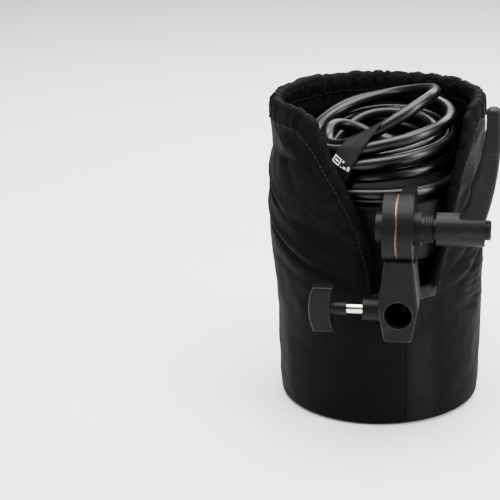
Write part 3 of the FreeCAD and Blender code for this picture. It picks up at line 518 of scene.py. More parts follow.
# the slot's edges, in degrees across from the seam, at heights in millimetres
SLOT_HEIGHTS = [88, 112, 130, 146, 168, 181, 192, 201]
SLOT_LEFT = [15.5, 18.5, 24, 30.5, 42, 51, 62, 74]
SLOT_RIGHT = [15.5, 21.5, 25, 28, 35, 41, 46, 53]
HEM = 5.5 * MM             # from the slot's edge to the stitches
WALL_COLUMNS = 150
SLOT_COLUMNS = 15
LOW_ROWS = 33
HIGH_ROWS = 40
EDGE_STEPS = 6
WALL_LOW = 4.5 * MM
WALL_HIGH = WALL_TOP - 1 * MM
FOOT_PROFILE = ((-0.9, 2.6), (-1.8, 1.2), (-3.4, 0.5), (-7.0, 0.5), (-7.9, 3.0))    # mm past the wall, up


def slot_edges(height):
    """Left and right edge of the slot, in radians across from the seam."""
    level = height / MM
    left = np.radians(curve_through(SLOT_HEIGHTS, SLOT_LEFT, level))
    right = np.radians(curve_through(SLOT_HEIGHTS, SLOT_RIGHT, level))
    return left, right


def on_wall(across, height, radius):
    angle = across + SEAM_TURN
    return np.stack([radius * np.sin(angle), -radius * np.cos(angle), height + 0 * angle], axis=-1)


def gather(across, drift=0.0):
    """Uneven gathers along the mouth: 0 in the creases, up to 1 on the puffs."""
    around = SLEEVE_RADIUS / (7.5 * MM)
    place = Vector((around * math.cos(across), around * math.sin(across), drift))
    return min(1.0, 1.8 * abs(noise.noise(place)) + 0.55 * abs(noise.noise(place * 2.3)))


def gathers(across, drift=0.0):
    drift = np.broadcast_to(drift, np.shape(across))
    return np.array([gather(a, d) for a, d in zip(np.ravel(across), drift.ravel())])


CORNER_ROUNDS = 3
# creases pressed into the outer fabric: points (degrees across, height in mm), depth, width in mm
FLANK_FAN = [([(27 + rise, 101 - 7.5 * rise / 2), (46, 100 - 4.6 * rise), (78, 104 - 5.6 * rise)], 0.8, 1.7)
             for rise in range(8)]
CREASES = FLANK_FAN + [
    ([(-118, 164), (-98, 150), (-82, 137), (-62, 126)], 1.6, 2.0),
    ([(-122, 142), (-98, 126), (-78, 112), (-52, 101), (-24, 93)], 1.9, 2.1),
    ([(-112, 152), (-94, 138), (-80, 128)], 0.8, 1.8),
    ([(-92, 103), (-70, 95), (-44, 88)], 0.7, 3.0),
    ([(-82, 176), (-66, 160), (-58, 140)], 0.8, 3.5),
    ([(24, 96), (42, 103), (58, 115), (70, 132)], 1.4, 2.4),
    ([(20, 84), (40, 87), (62, 96), (80, 110)], 1.5, 2.6),
    ([(30, 124), (44, 134), (58, 152)], 1.1, 2.4),
    ([(28, 70), (48, 68), (72, 76)], 0.8, 3.2),
    ([(58, 178), (66, 160), (84, 142)], 1.0, 2.8),
    ([(104, 128), (122, 116), (140, 111), (166, 114)], 1.0, 2.8),
    ([(150, 158), (166, 148), (186, 143), (206, 146)], 0.9, 3.0),
    ([(186, 92), (204, 99), (224, 101), (250, 95)], 1.0, 2.8),
    ([(120, 84), (138, 78), (152, 79)], 0.7, 2.2),
    ([(210, 172), (222, 160), (240, 154)], 0.8, 2.6),
    ([(96, 60), (120, 54), (150, 62)], 0.8, 3.4),
    ([(188, 52), (215, 60), (240, 54)], 0.8, 3.4),
]


def softened(points):
    """The same line with its corners cut round."""
    line = np.array(points, float)
    for _ in range(CORNER_ROUNDS):
        early, late = line[:-1] * 0.75 + line[1:] * 0.25, line[:-1] * 0.25 + line[1:] * 0.75
        line = np.concatenate([line[:1], np.stack([early, late], axis=1).reshape(-1, 2)[1:-1], line[-1:]])
    return line


def crease_depth(across, height):
    """How far the outer fabric is pressed in (negative) or pushed up beside a crease, in metres."""
    across = (across + math.pi) % (2 * math.pi) - math.pi
    arc, level = across * SLEEVE_RADIUS / MM, height / MM
    total = np.zeros_like(arc)
    for points, depth, width in CREASES:
        line = softened([(math.radians(a) * SLEEVE_RADIUS / MM, z) for a, z in points])
        round_trip = 2 * math.pi * SLEEVE_RADIUS / MM
        middle = line[:, 0].mean()
        here = middle + (arc - middle + round_trip / 2) % round_trip - round_trip / 2
        best = np.full(arc.shape, 1e9)
        side = np.zeros_like(arc)
        along = np.zeros_like(arc)
        spans = len(line) - 1
        for index in range(spans):
            start, way = line[index], line[index + 1] - line[index]
            size = np.hypot(*way)
            share = np.clip(((here - start[0]) * way[0] + (level - start[1]) * way[1]) / size ** 2, 0, 1)
            gap_x, gap_z = here - start[0] - share * way[0], level - start[1] - share * way[1]
            gap = np.hypot(gap_x, gap_z)
            nearer = gap < best
            best = np.where(nearer, gap, best)
            side = np.where(nearer, np.sign(way[0] * gap_z - way[1] * gap_x) * gap, side)
            along = np.where(nearer, (index + share) / spans, along)
        fade = np.sin(math.pi * np.clip(along, 0, 1)) ** 0.6
        dip = -np.exp(-(side / width) ** 2)
        ridge = 0.75 * np.exp(-((side - 2.0 * width) / (1.5 * width)) ** 2)
        total += depth * fade * (dip + ridge)
    return total * MM


def lean_of_flaps(across, height):
    """The right flap curls outward along its edge, and the left one leans in a little."""
    left, right = slot_edges(height)
    spread = smoothstep(height, 0.105, 0.150)
    near_right = np.exp(-np.clip(across - right, 0, 9) * SLEEVE_RADIUS / 0.012)
    near_left = np.exp(-np.clip(2 * math.pi - left - across, 0, 9) * SLEEVE_RADIUS / 0.016)
    return spread * (2.6 * MM * near_right - 0.8 * MM * near_left)


def fullness(across, height):
    """The upper part of the sleeve stands a little wider, most of all at its left side."""
    left_side = np.exp(-((across - math.radians(262)) / 0.75) ** 2)
    return (3.2 * left_side + 0.7) * MM * smoothstep(height, 0.045, 0.140)


def wall_rows():
    low = np.linspace(WALL_LOW, SLOT_BOTTOM - 3 * MM, LOW_ROWS, endpoint=False)
    high = np.linspace(SLOT_BOTTOM - 3 * MM, WALL_HIGH, HIGH_ROWS + 1)
    return np.concatenate([low, high])


def sleeve_grid():
    """Angle and height of every point of the wall's grid: rows upward, columns from the slot's
    right edge round the back to its left edge, then across below the slot."""
    heights = wall_rows()
    inset = 3 * MM / SLEEVE_RADIUS       # the rolled edge reaches on from here
    left, right = slot_edges(heights)
    left, right = left + inset, right + inset
    share = np.linspace(0, 1, WALL_COLUMNS + 1)
    wall = right[:, None] + (2 * math.pi - left - right)[:, None] * share
    gap_share = np.linspace(0, 1, SLOT_COLUMNS + 1)[1:-1]
    gap = 2 * math.pi - left[:, None] + (left + right)[:, None] * gap_share
    return heights, np.concatenate([wall, gap], axis=1)


def build_sleeve():
    """Closed padded wall: outer fabric, rolled edges all round the mouth, lining and bottom."""
    heights, across = sleeve_grid()
    rows, columns = across.shape
    level = np.repeat(heights[:, None], columns, axis=1)
    arc = across * SLEEVE_RADIUS
    near_rim = np.exp(-(WALL_HIGH - level) / 0.0085)
    outer = SLEEVE_RADIUS - 0.4 * MM + lean_of_flaps(across, level)
    outer = outer - 1.0 * MM * near_rim + fullness(across, level)
    foot = np.clip((12 * MM - level) / (12 * MM), 0, 1)
    outer = outer - 1.0 * MM * foot ** 2
    inner = INNER_RADIUS + 0.5 * MM + lean_of_flaps(across, level)
    inner = inner + 0.6 * MM * near_rim + 0.6 * fullness(across, level)
    outside = on_wall(across, level, outer).reshape(-1, 3)
    inside = on_wall(across, level, inner).reshape(-1, 3)

    def at(row, column):
        return row * columns + column % columns

    faces = []
    for row in range(rows - 1):
        for column in range(columns if row < LOW_ROWS else WALL_COLUMNS):
            faces.append((at(row, column), at(row, column + 1), at(row + 1, column + 1), at(row + 1, column)))
    count = rows * columns
    faces += [tuple(corner + count for corner in reversed(face)) for face in faces]

    mouth = [(LOW_ROWS, column) for column in range(WALL_COLUMNS, columns)]
    mouth += [(row, 0) for row in range(LOW_ROWS, rows)]
    mouth += [(rows - 1, column) for column in range(1, WALL_COLUMNS + 1)]
    mouth += [(row, WALL_COLUMNS) for row in range(rows - 2, LOW_ROWS, -1)]
    mouth = [at(*place) for place in mouth]
    points = [outside, inside]
    flat = np.stack([arc.ravel(), level.ravel()], axis=1)[mouth]
    ahead, behind = np.roll(flat, -1, axis=0), np.roll(flat, 1, axis=0)
    run = ahead - behind
    round_trip = 2 * math.pi * SLEEVE_RADIUS
    run[:, 0] = (run[:, 0] + round_trip / 2) % round_trip - round_trip / 2
    run /= np.linalg.norm(run, axis=1)[:, None]
    angle = flat[:, 0] / SLEEVE_RADIUS + SEAM_TURN
    tangent = np.stack([np.cos(angle), np.sin(angle), 0 * angle], axis=1)
    outward = tangent * -run[:, 1:2] + np.array([0, 0, 1.0]) * run[:, 0:1]
    ends = outside[mouth], inside[mouth]
    loops = [mouth]
    start = 2 * count
    for step in range(1, EDGE_STEPS):
        turn = math.pi * step / EDGE_STEPS
        mix = (1 - math.cos(turn)) / 2
        points.append(ends[0] * (1 - mix) + ends[1] * mix + outward * 3 * MM * math.sin(turn))
        loops.append(list(range(start, start + len(mouth))))
        start += len(mouth)
    loops.append([place + count for place in mouth])
    bottom = [at(0, column) for column in range(columns)]
    foot_loops = [bottom]
    for radius, height in FOOT_PROFILE:
        points.append(on_wall(across[0], height * MM, SLEEVE_RADIUS + radius * MM))
        foot_loops.append(list(range(start, start + columns)))
        start += columns
    foot_loops.append([place + count for place in bottom])
    for group in (loops, foot_loops):
        for here, there in zip(group, group[1:]):
            sides = zip(here, here[1:] + here[:1], there[1:] + there[:1], there)
            faces += list(sides)
    points = np.concatenate(points)
    used = sorted({corner for face in faces for corner in face})
    renumber = {old: new for new, old in enumerate(used)}
    faces = [tuple(renumber[corner] for corner in face) for face in faces]
    piece = mesh_piece("sleeve_pad", points[used], faces, SHELL, LINING)
    return piece, sorted({renumber[place] for loop in loops + foot_loops for place in loop})


def points_of(mesh):
    flat = np.zeros(len(mesh.vertices) * 3)
    mesh.vertices.foreach_get("co", flat)
    return flat.reshape(-1, 3)


def put_points(mesh, points):
    mesh.vertices.foreach_set("co", points.ravel())
    mesh.update()


def across_of(points):
    return (np.arctan2(points[:, 0], -points[:, 1]) - SEAM_TURN) % (2 * math.pi)


CLOTH = {"quality": 6, "mass": 0.12, "tension_stiffness": 12, "compression_stiffness": 12,
         "shear_stiffness": 4, "bending_stiffness": 0.25, "air_damping": 2, "use_pressure": True,
         "uniform_pressure_force": 2.5, "vertex_group_mass": "held", "vertex_group_shrink": "full",
         "shrink_min": -0.035, "shrink_max": -0.13}
CLOTH_FRAMES = 20
FULL_NEAR_RIM = 0.020       # the extra cloth fades over this height below the rim
MOST_MOVE = 2.6 * MM
WIDEST = 66.4 * MM          # radius that the swollen fabric keeps within, before lean and fullness


def run_cloth(piece):
    """Runs the simulation and gives back where it leaves the points."""
    modifier = piece.modifiers.new("cloth", "CLOTH")
    for name, value in CLOTH.items():
        setattr(modifier.settings, name, value)
    modifier.settings.effector_weights.gravity = 0
    modifier.collision_settings.use_collision = False
    modifier.collision_settings.use_self_collision = False
    scene = bpy.context.scene
    modifier.point_cache.frame_start, modifier.point_cache.frame_end = 1, CLOTH_FRAMES
    for number in range(1, CLOTH_FRAMES + 1):
        scene.frame_set(number)
    graph = bpy.context.evaluated_depsgraph_get()
    after = points_of(bpy.data.meshes.new_from_object(piece.evaluated_get(graph)))
    piece.modifiers.remove(modifier)
    scene.frame_set(1)
    return after


def simulate_cloth(piece, edge):
    """Lets the fabric swell and buckle over its foam, held along its sewn edges."""
    before = points_of(piece.data)
    height = before[:, 2]
    piece.vertex_groups.new(name="held").add(edge, 1.0, "REPLACE")
    full = piece.vertex_groups.new(name="full")
    for index, weight in enumerate(np.exp(-(WALL_HIGH - height) / FULL_NEAR_RIM)):
        full.add([index], float(min(max(weight, 0), 1)), "REPLACE")
    move = run_cloth(piece) - before
    length = np.linalg.norm(move, axis=1)[:, None]
    move *= np.tanh(length / MOST_MOVE) * MOST_MOVE / np.maximum(length, 1e-9)
    # calmer low down, still at the base's seam, and held back under the casing
    move *= (0.35 + 0.65 * smoothstep(height, 0.050, 0.115))[:, None]
    move *= smoothstep(height, 4 * MM, 30 * MM)[:, None]
    move *= (1 - 0.7 * smoothstep(height, WALL_HIGH - 34 * MM, WALL_HIGH - 12 * MM))[:, None]
    moved = before + move
    radius = np.hypot(moved[:, 0], moved[:, 1])
    across = across_of(before)
    limit = WIDEST + np.clip(lean_of_flaps(across, height), 0, 1) + fullness(across, height)
    moved[:, :2] *= (np.minimum(radius, limit) / np.maximum(radius, 1e-9))[:, None]
    put_points(piece.data, moved)
    piece.vertex_groups.clear()


def refine(piece):
    """One applied subdivision."""
    modifier = piece.modifiers.new("finer", "SUBSURF")
    modifier.levels = modifier.render_levels = 1
    graph = bpy.context.evaluated_depsgraph_get()
    finer = bpy.data.meshes.new_from_object(piece.evaluated_get(graph))
    piece.modifiers.remove(modifier)
    finer.name = piece.data.name
    piece.data = finer
    finer.polygons.foreach_set("use_smooth", [True] * len(finer.polygons))


CRUMPLE_FINE = 95           # how many noise cells to a metre
CRUMPLE_WIDE, CRUMPLE_TALL = 38, 24


def press_creases(piece):
    """Creases, small crumples and the seams' pinches, pressed into the finished fabric."""
    mesh = piece.data
    points = points_of(mesh)
    radius = np.hypot(points[:, 0], points[:, 1])
    across, height = across_of(points), points[:, 2]
    outer = smoothstep(radius, SLEEVE_RADIUS - 3.4 * MM, SLEEVE_RADIUS - 2.2 * MM)
    inner = 1 - smoothstep(radius, INNER_RADIUS + 2.0 * MM, INNER_RADIUS + 3.2 * MM)
    left, right = slot_edges(height)
    from_edge = np.minimum(across - right, 2 * math.pi - left - across) * SLEEVE_RADIUS
    below = height < SLOT_BOTTOM - HEM
    calm = np.where(below, 1.0, smoothstep(from_edge, 6 * MM, 14 * MM))
    calm *= smoothstep(height, 4 * MM, 16 * MM) * (1 - smoothstep(height, 0.176, 0.190))
    seam_gap = np.minimum(across, 2 * math.pi - across) * SLEEVE_RADIUS
    calm *= np.where(below, smoothstep(seam_gap, 5 * MM, 11 * MM), 1.0)
    change = outer * calm * crease_depth(across, height)
    small = np.array([noise.noise(Vector(p) * CRUMPLE_FINE) for p in points])
    large = np.array([noise.noise(Vector((p[0] * CRUMPLE_WIDE, p[1] * CRUMPLE_WIDE, p[2] * CRUMPLE_TALL + 7)))
                      for p in points])
    change += outer * calm * (0.55 * MM * small + 0.8 * MM * large)
    change += inner * smoothstep(height, 0.02, 0.04) * (0.5 * MM * small + 0.6 * MM * large)
    from_top = np.maximum(WALL_HIGH - height, 0)
    near = np.flatnonzero(from_top < 60 * MM)
    folds = np.zeros(len(points))
    folds[near] = gathers(across[near], from_top[near] / 0.045)
    change += outer * np.exp(-from_top / 0.010) * (folds - 0.45) * 1.3 * MM
    change -= inner * np.exp(-from_top / 0.024) * folds * 1.7 * MM
    points[:, :2] *= (1 + change / np.maximum(radius, 1e-6))[:, None]
    put_points(mesh, points)
    centres = np.zeros(len(mesh.polygons) * 3)
    mesh.polygons.foreach_get("center", centres)
    centres = centres.reshape(-1, 3)
    inside = np.hypot(centres[:, 0], centres[:, 1]) < (SLEEVE_RADIUS + INNER_RADIUS) / 2
    mesh.polygons.foreach_set("material_index", inside.astype(np.int32))


sleeve, sewn_edge = build_sleeve()
simulate_cloth(sleeve, sewn_edge)
refine(sleeve)
press_creases(sleeve)


# ---- surface of the finished sleeve ---------------------------------------------------------

def surface_tree(piece):
    mesh = piece.data
    corners = [tuple(face.vertices) for face in mesh.polygons]
    return BVHTree.FromPolygons([v.co for v in mesh.vertices], corners)


SURFACE = surface_tree(sleeve)


def direction(across):
    angle = across + SEAM_TURN
    return Vector((math.sin(angle), -math.cos(angle), 0))


def outer_point(across, height):
    """Point on the outer fabric at that angle and height, with the surface's normal."""
    way = direction(across)
    start = way * 0.09 + Vector((0, 0, height))
    place, normal, _, _ = SURFACE.ray_cast(start, -way)
    if place is None:
        place, normal = way * SLEEVE_RADIUS + Vector((0, 0, height)), way
    return place, normal if normal.dot(way) > 0 else -normal


def nearest_point(guess):
    """The point of the fabric nearest to a guess outside it, with the normal towards the guess."""
    place, normal, _, _ = SURFACE.find_nearest(guess)
    return place, normal if normal.dot(guess - place) > 0 else -normal


def band(name, rows, lifts, *materials):
    """A closed band of cloth on the fabric: rows of (place, normal), lifted by an amount each."""
    points = []
    for row, lift in zip(rows, lifts):
        points += [place + normal * amount for (place, normal), amount in zip(row, lift)]
        points += [place - normal * 0.3 * MM for place, normal in reversed(row)]
    return mesh_piece(name, points, tube_faces(len(rows), 2 * len(rows[0])), *materials)


STITCH_SHARE = 0.72         # of the pitch that is thread
STITCH_SINK = 0.25          # of its thickness that is sunk in the cloth


def stitch_row(name, line, pitch, size=0.34 * MM):
    """Thread stitches along a line of (place, normal): short rounded bars, sunk at both ends."""
    places = [place for place, _ in line]
    gaps = [(after - before).length for before, after in zip(places, places[1:])]
    walked = walk(gaps)
    normals = [normal for _, normal in line]

    def at(distance):
        index = int(np.clip(np.searchsorted(walked, distance) - 1, 0, len(gaps) - 1))
        part = (distance - walked[index]) / max(gaps[index], 1e-9)
        return (places[index].lerp(places[index + 1], part),
                normals[index].lerp(normals[index + 1], part).normalized())

    points, faces = [], []
    sides, bends = 6, 5
    for number in range(int(walked[-1] / pitch)):
        start = number * pitch + 0.1 * pitch * DICE.random()
        base = len(points)
        for bend in range(bends):
            along = bend / (bends - 1)
            place, normal = at(start + along * STITCH_SHARE * pitch)
            before, _ = at(max(start - 0.2 * pitch, 0))
            beyond, _ = at(min(start + 1.2 * pitch, walked[-1]))
            ahead = (beyond - before).normalized()
            side = ahead.cross(normal).normalized()
            arch = math.sin(math.pi * along)
            fat = size * (0.55 + 0.45 * arch)
            centre = place + normal * size * (arch - STITCH_SINK)
            points += [centre + side * fat * math.cos(angle) + normal * fat * math.sin(angle)
                       for angle in circle(sides)]
        faces += [tuple(base + corner for corner in face) for face in tube_faces(bends, sides)]
    return mesh_piece(name, points, faces, THREAD)


# ---- bound mouth: slot edges and gathered rim -----------------------------------------------

BINDING_TURNS = 10          # across the rolled edge
BINDING_LIFT = 0.26 * MM
STITCH_PITCH = 3.1 * MM
RIM_REACH = 5.6 * MM        # the elastic casing stands this far above the wall's own edge
PATH_STEP = 0.75 * MM


def mouth_path():
    """Rows of (across, height, outward arc, outward up, share of rim) up the slot's right edge,
    round the rim and down the left edge, with rounded corners."""
    heights = np.linspace(SLOT_BOTTOM - 1 * MM, WALL_HIGH, 160)
    left, right = slot_edges(heights)
    rim = np.linspace(right[-1], 2 * math.pi - left[-1], 500)[1:-1]
    arc = np.concatenate([right, rim, (2 * math.pi - left)[::-1]]) * SLEEVE_RADIUS
    level = np.concatenate([heights, np.full(len(rim), WALL_HIGH), heights[::-1]])
    walked = walk(np.hypot(np.diff(arc), np.diff(level)))
    spots = np.arange(0, walked[-1], PATH_STEP)
    arc, level = np.interp(spots, walked, arc), np.interp(spots, walked, level)
    for _ in range(40):
        arc[1:-1] = (arc[:-2] + 2 * arc[1:-1] + arc[2:]) / 4
        level[1:-1] = (level[:-2] + 2 * level[1:-1] + level[2:]) / 4
    along, up = np.gradient(arc), np.gradient(level)
    size = np.hypot(along, up)
    share = smoothstep(level, WALL_HIGH - 24 * MM, WALL_HIGH - 0.5 * MM)
    return zip(arc / SLEEVE_RADIUS, level, -up / size, along / size, share, spots)


def section(across, height, out_arc, out_up):
    """Guesses round the rolled edge, outside, over and back inside, each with how much of the
    casing's reach it takes and how far from the binding's hems it is."""
    tangent = Vector((math.cos(across + SEAM_TURN), math.sin(across + SEAM_TURN), 0))
    out = tangent * out_arc + Vector((0, 0, out_up))
    way = direction(across)
    lean = float(lean_of_flaps(across, height) + fullness(across, height))
    outside, inside = SLEEVE_RADIUS + lean, INNER_RADIUS + lean
    base = Vector((0, 0, height))
    spots = [(base + way * (outside + 2 * MM) - out * back, 0.0, min((HEM - back) / (1.5 * MM), 1))
             for back in (HEM, HEM - 0.5 * MM, HEM - 1.4 * MM, 3.4 * MM)]
    for step in range(BINDING_TURNS + 1):
        turn = math.pi * step / BINDING_TURNS
        mix = (1 - math.cos(turn)) / 2
        radius = outside + 2 * MM * math.cos(turn) - mix * (outside - inside)
        spots.append((base + way * radius + out * (-3 + 5 * math.sin(turn)) * MM, math.sin(turn) ** 0.6, 1))
    spots += [(base + way * (inside - 2 * MM) - out * back, 0.0, min((HEM - back) / (1.5 * MM), 1))
              for back in (3.4 * MM, HEM - 1.4 * MM, HEM - 0.5 * MM, HEM)]
    return out, spots


def build_mouth():
    """One folded binding along the slot's edges; round the rim it holds the elastic, gathered."""
    rows, lifts = [], []
    for across, height, out_arc, out_up, share, walked in mouth_path():
        out, spots = section(float(across), float(height), float(out_arc), float(out_up))
        puff = gather(float(across), 0.0)
        late = gather(float(across), 0.35)
        pucker = 1 + 0.5 * math.sin(walked / (1.0 * MM)) * math.sin(walked / (6.1 * MM))
        rise = share * (RIM_REACH - 1.4 * MM * (1 - late) + 0.5 * MM * math.sin(walked / 0.021))
        row, lift = [], []
        for guess, reach, body in spots:
            place, normal = nearest_point(guess)
            row.append((place + out * rise * reach, normal))
            fold = puff * (1 - reach) + late * reach
            lift.append(0.02 * MM + body * (BINDING_LIFT * pucker + share * 1.1 * MM * (fold - 0.3)))
        rows.append(row)
        lifts.append(lift)
    piece = band("mouth_binding", rows, lifts, SHELL)
    return piece, rows, lifts


mouth, mouth_rows, mouth_lifts = build_mouth()
belongs(mouth, "sleeve", "nylon", "slot_facing_left", "slot_facing_right", "rim_casing", "rim_elastic",
        fill=0.7)
for stitch_name, column in (("outside", 2), ("inside", -3)):
    line = [(row[column][0] + row[column][1] * lift[column], row[column][1])
            for row, lift in zip(mouth_rows, mouth_lifts)]
    belongs(stitch_row(f"mouth_stitches_{stitch_name}", line, STITCH_PITCH), "sleeve", "nylon")


def build_slot_bottom():
    """The short binding across the slot's bottom."""
    rows, lifts = [], []
    left, right = slot_edges(SLOT_BOTTOM)
    for share in np.linspace(-0.06, 1.06, 52):
        across = float(-left * (1 - share) + right * share)
        _, spots = section(across, SLOT_BOTTOM - 0.5 * MM, 0.0, 1.0)
        rows.append([nearest_point(guess) for guess, _, _ in spots])
        lifts.append([0.02 * MM + body * BINDING_LIFT * 1.3 for _, _, body in spots])
    return band("slot_bottom_binding", rows, lifts, SEAM_NYLON), rows


slot_bottom, bottom_rows = build_slot_bottom()
bottom_line = [(row[2][0] + row[2][1] * BINDING_LIFT * 1.3, row[2][1]) for row in bottom_rows]
belongs(slot_bottom, "sleeve", "nylon", "slot_facing_bottom")
belongs(stitch_row("slot_bottom_stitches", bottom_line, STITCH_PITCH), "sleeve", "nylon")


# ---- front seam -----------------------------------------------------------------------------

SEAM_WIDTH = 9 * MM


def build_seam():
    """Lapped front seam: a doubled band to the right of the seam line, with a crisp left edge."""
    rows, lifts = [], []
    low, high = 3.5 * MM, SLOT_BOTTOM - HEM + 0.5 * MM
    for height in np.linspace(low, high, 90):
        wander = 0.25 * MM * math.sin(height / 0.011) + 0.15 * MM * math.sin(height / 0.0043 + 2)
        places = [outer_point(float((wander + share * SEAM_WIDTH) / SLEEVE_RADIUS), float(height))
                  for share in np.linspace(0, 1, 12)]
        rows.append(places)
        pinch = 1 + 0.3 * math.sin(height / 0.0011) * math.sin(height / 0.009)
        profile = [0.0, 1.0, 1.0, 0.92, 0.84, 0.72, 0.6, 0.48, 0.36, 0.24, 0.12, 0.0]
        lifts.append([0.6 * MM * share * pinch for share in profile])
    piece = band("front_seam_lap", rows, lifts, SHELL)
    line = [outer_point(-1.5 * MM / SLEEVE_RADIUS, float(height)) for height in np.linspace(low, high, 90)]
    return piece, line


seam, seam_line = build_seam()
belongs(seam, "sleeve", "nylon", "front_seam")
belongs(stitch_row("seam_stitches", seam_line, 2.6 * MM, size=0.26 * MM), "sleeve", "nylon")


# ---- sleeve's base --------------------------------------------------------------------------

def lathe(name, profile, around, *materials):
    """A closed turned form with soft unevenness; profile is (radius, height) from axis to axis, in mm."""
    points = []
    for radius, height in [(r * MM, z * MM) for r, z in profile]:
        points += [(radius * math.cos(angle), radius * math.sin(angle),
                    height + base_lift(angle, radius, height)) for angle in circle(around)]
    return mesh_piece(name, points, tube_faces(len(profile), around), *materials)


def base_lift(angle, radius, height):
    edge = math.exp(-abs(radius - 0.060) / 0.004)
    pinch = math.sin(64 * angle + 2 * math.sin(5 * angle))
    dimple = noise.noise(Vector((radius * math.cos(angle) * 40, radius * math.sin(angle) * 40, height * 20)))
    lift = 0.25 * MM * (1 + dimple) if height < 2 * MM else 0
    return edge * 0.12 * MM * pinch + lift


BASE_PROFILE = [(0.5, 0.35), (15, 0.3), (30, 0.25), (42, 0.15), (52, 0.1), (57, 0.15), (59.5, 0.45),
                (60.6, 0.95), (60.8, 1.5), (59.8, 2.4), (57.6, 3.2), (56.9, 5.0), (55.5, 6.6), (40, 6.9),
                (20, 6.9), (0.5, 6.9)]
LINING_PROFILE = [(0.5, 6.95), (30, 6.95), (54, 6.9), (56.6, 7.0), (56.9, 7.4), (56.2, 7.9), (52, 8.1),
                  (44, 7.8), (30, 8.05), (16, 7.9), (0.5, 8.1)]

# foam disc in nylon under the sleeve, and the lining over it
base = lathe("base_pad", BASE_PROFILE, 192, SHELL)
base_lining = lathe("base_lining_pad", LINING_PROFILE, 160, LINING)
belongs(base, "sleeve", "nylon", "base_cover", "base_foam", fill=0.8)
belongs(base_lining, "sleeve", "nylon", "base_lining", fill=0.8)
belongs(sleeve, "sleeve", "nylon", "outer_shell", "foam_wall", "inner_lining", fill=0.6)


# ---- ribs of the clamp nut ------------------------------------------------------------------

NUT_LOW, NUT_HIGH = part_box("clamp_nut")
RIB_PLACES = (2.2, 3.7, 5.2, 6.7)      # mm along the nut from its inner face
RIB_HALF, RIB_RISE = 0.42, 0.34        # mm


RIB_OUTLINE = [(-1, -0.6), (-0.8, 0.5), (-0.3, 1), (0.3, 1), (0.8, 0.5), (1, -0.6)]


def build_ribs():
    """Turned ribs round the nut's hub, each a closed ring a little proud of it."""
    axis_y, axis_z = (NUT_LOW.y + NUT_HIGH.y) / 2, (NUT_LOW.z + NUT_HIGH.z) / 2
    hub = (NUT_HIGH.y - NUT_LOW.y) / 2
    around = 72
    points, faces = [], []
    for place in RIB_PLACES:
        base = len(points)
        for along, rise in RIB_OUTLINE:
            radius = hub + rise * RIB_RISE * MM
            points += [(NUT_LOW.x + (place + along * RIB_HALF) * MM,
                        axis_y + radius * math.cos(turn), axis_z + radius * math.sin(turn))
                       for turn in circle(around)]
        faces += [tuple(base + corner for corner in face)
                  for face in tube_faces(len(RIB_OUTLINE), around, closed_path=True)]
    return mesh_piece("nut_ribs", points, faces, FINISH["cast_black"])


belongs(build_ribs(), "clamp_nut", "cast_black")


# ---- rubbed lip of the stud bore ------------------------------------------------------------

BORE_AXIS = (19.4 * MM, 86.6 * MM)     # x and z
BORE_RADIUS = 8.25 * MM
LIP = 0.3 * MM


def build_lip():
    """Narrow bare ring where the bore breaks through the arm's front face."""
    rim = (BORE_AXIS[0], -0.2, BORE_AXIS[1] - BORE_RADIUS - 1 * MM)
    front = frame["nodes"]["arm_block"].ray_cast(rim, (0, 1, 0))[1].y
    outline = [(-0.2, 1.6), (0.0, -0.15), (0.8, -0.35), (1.5, -0.1), (1.6, 0.8)]
    around = 96
    points = []
    for out, deep in outline:
        radius = BORE_RADIUS + out * LIP
        points += [(BORE_AXIS[0] + radius * math.cos(turn), front + deep * LIP,
                    BORE_AXIS[1] + radius * math.sin(turn)) for turn in circle(around)]
    return mesh_piece("bore_lip", points, tube_faces(len(outline), around, closed_path=True), RUBBED_EDGE)


belongs(build_lip(), "tilt_arm", "cast_black")


# ---- spring inside the lever ----------------------------------------------------------------

SPRING_LOW, SPRING_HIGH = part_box("handle_spring")
SPRING_WIRE = 0.45 * MM
SPRING_PITCH = 1.9 * MM


def build_spring():
    """The handle's spring as a round wire helix."""
    axis_y, axis_z = (SPRING_LOW.y + SPRING_HIGH.y) / 2, (SPRING_LOW.z + SPRING_HIGH.z) / 2
    radius = (SPRING_HIGH.y - SPRING_LOW.y) / 2 - SPRING_WIRE
    start, end = SPRING_LOW.x + SPRING_WIRE, SPRING_HIGH.x - SPRING_WIRE
    steps, sides = 220, 10
    points = []
    for step in range(steps + 1):
        along = start + (end - start) * step / steps
        turn = 2 * math.pi * (along - start) / SPRING_PITCH
        out = Vector((0, math.cos(turn), math.sin(turn)))
        for angle in circle(sides):
            centre = Vector((along, axis_y, axis_z)) + out * (radius + SPRING_WIRE * math.cos(angle))
            points.append(centre + Vector((1, 0, 0)) * SPRING_WIRE * math.sin(angle))
    return mesh_piece("spring_wire", points, tube_faces(steps + 1, sides), STEEL)


spring = build_spring()
belongs(spring, "lever_handle", "bright_steel", "handle_spring")
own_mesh(spring)


# ---- strap round the cable ------------------------------------------------------------------

STRAP_TURN = -21.0          # degrees round the sleeve from -Y
STRAP_WIDTH = 15 * MM
STRAP_SLANT = 22.0          # degrees the band leans from upright
STRAP_GAP = 0.7 * MM
TIED_BELOW = 0.190          # the loose top loop stays out of the strap
CORE_RADIUS = 0.018         # strands nearer the coil's middle are not on the strap's side of it


def cable_line(curve, steps):
    """Points along the cable's own spline, without its bevel."""
    bare = curve.data.copy()
    bare.bevel_depth = 0
    bare.resolution_u = steps
    helper = bpy.data.objects.new("cable_line", bare)
    bpy.context.scene.collection.objects.link(helper)
    mesh = bpy.data.meshes.new_from_object(helper.evaluated_get(bpy.context.evaluated_depsgraph_get()))
    line = [v.co.copy() for v in mesh.vertices]
    bpy.data.objects.remove(helper)
    bpy.data.meshes.remove(mesh)
    return line


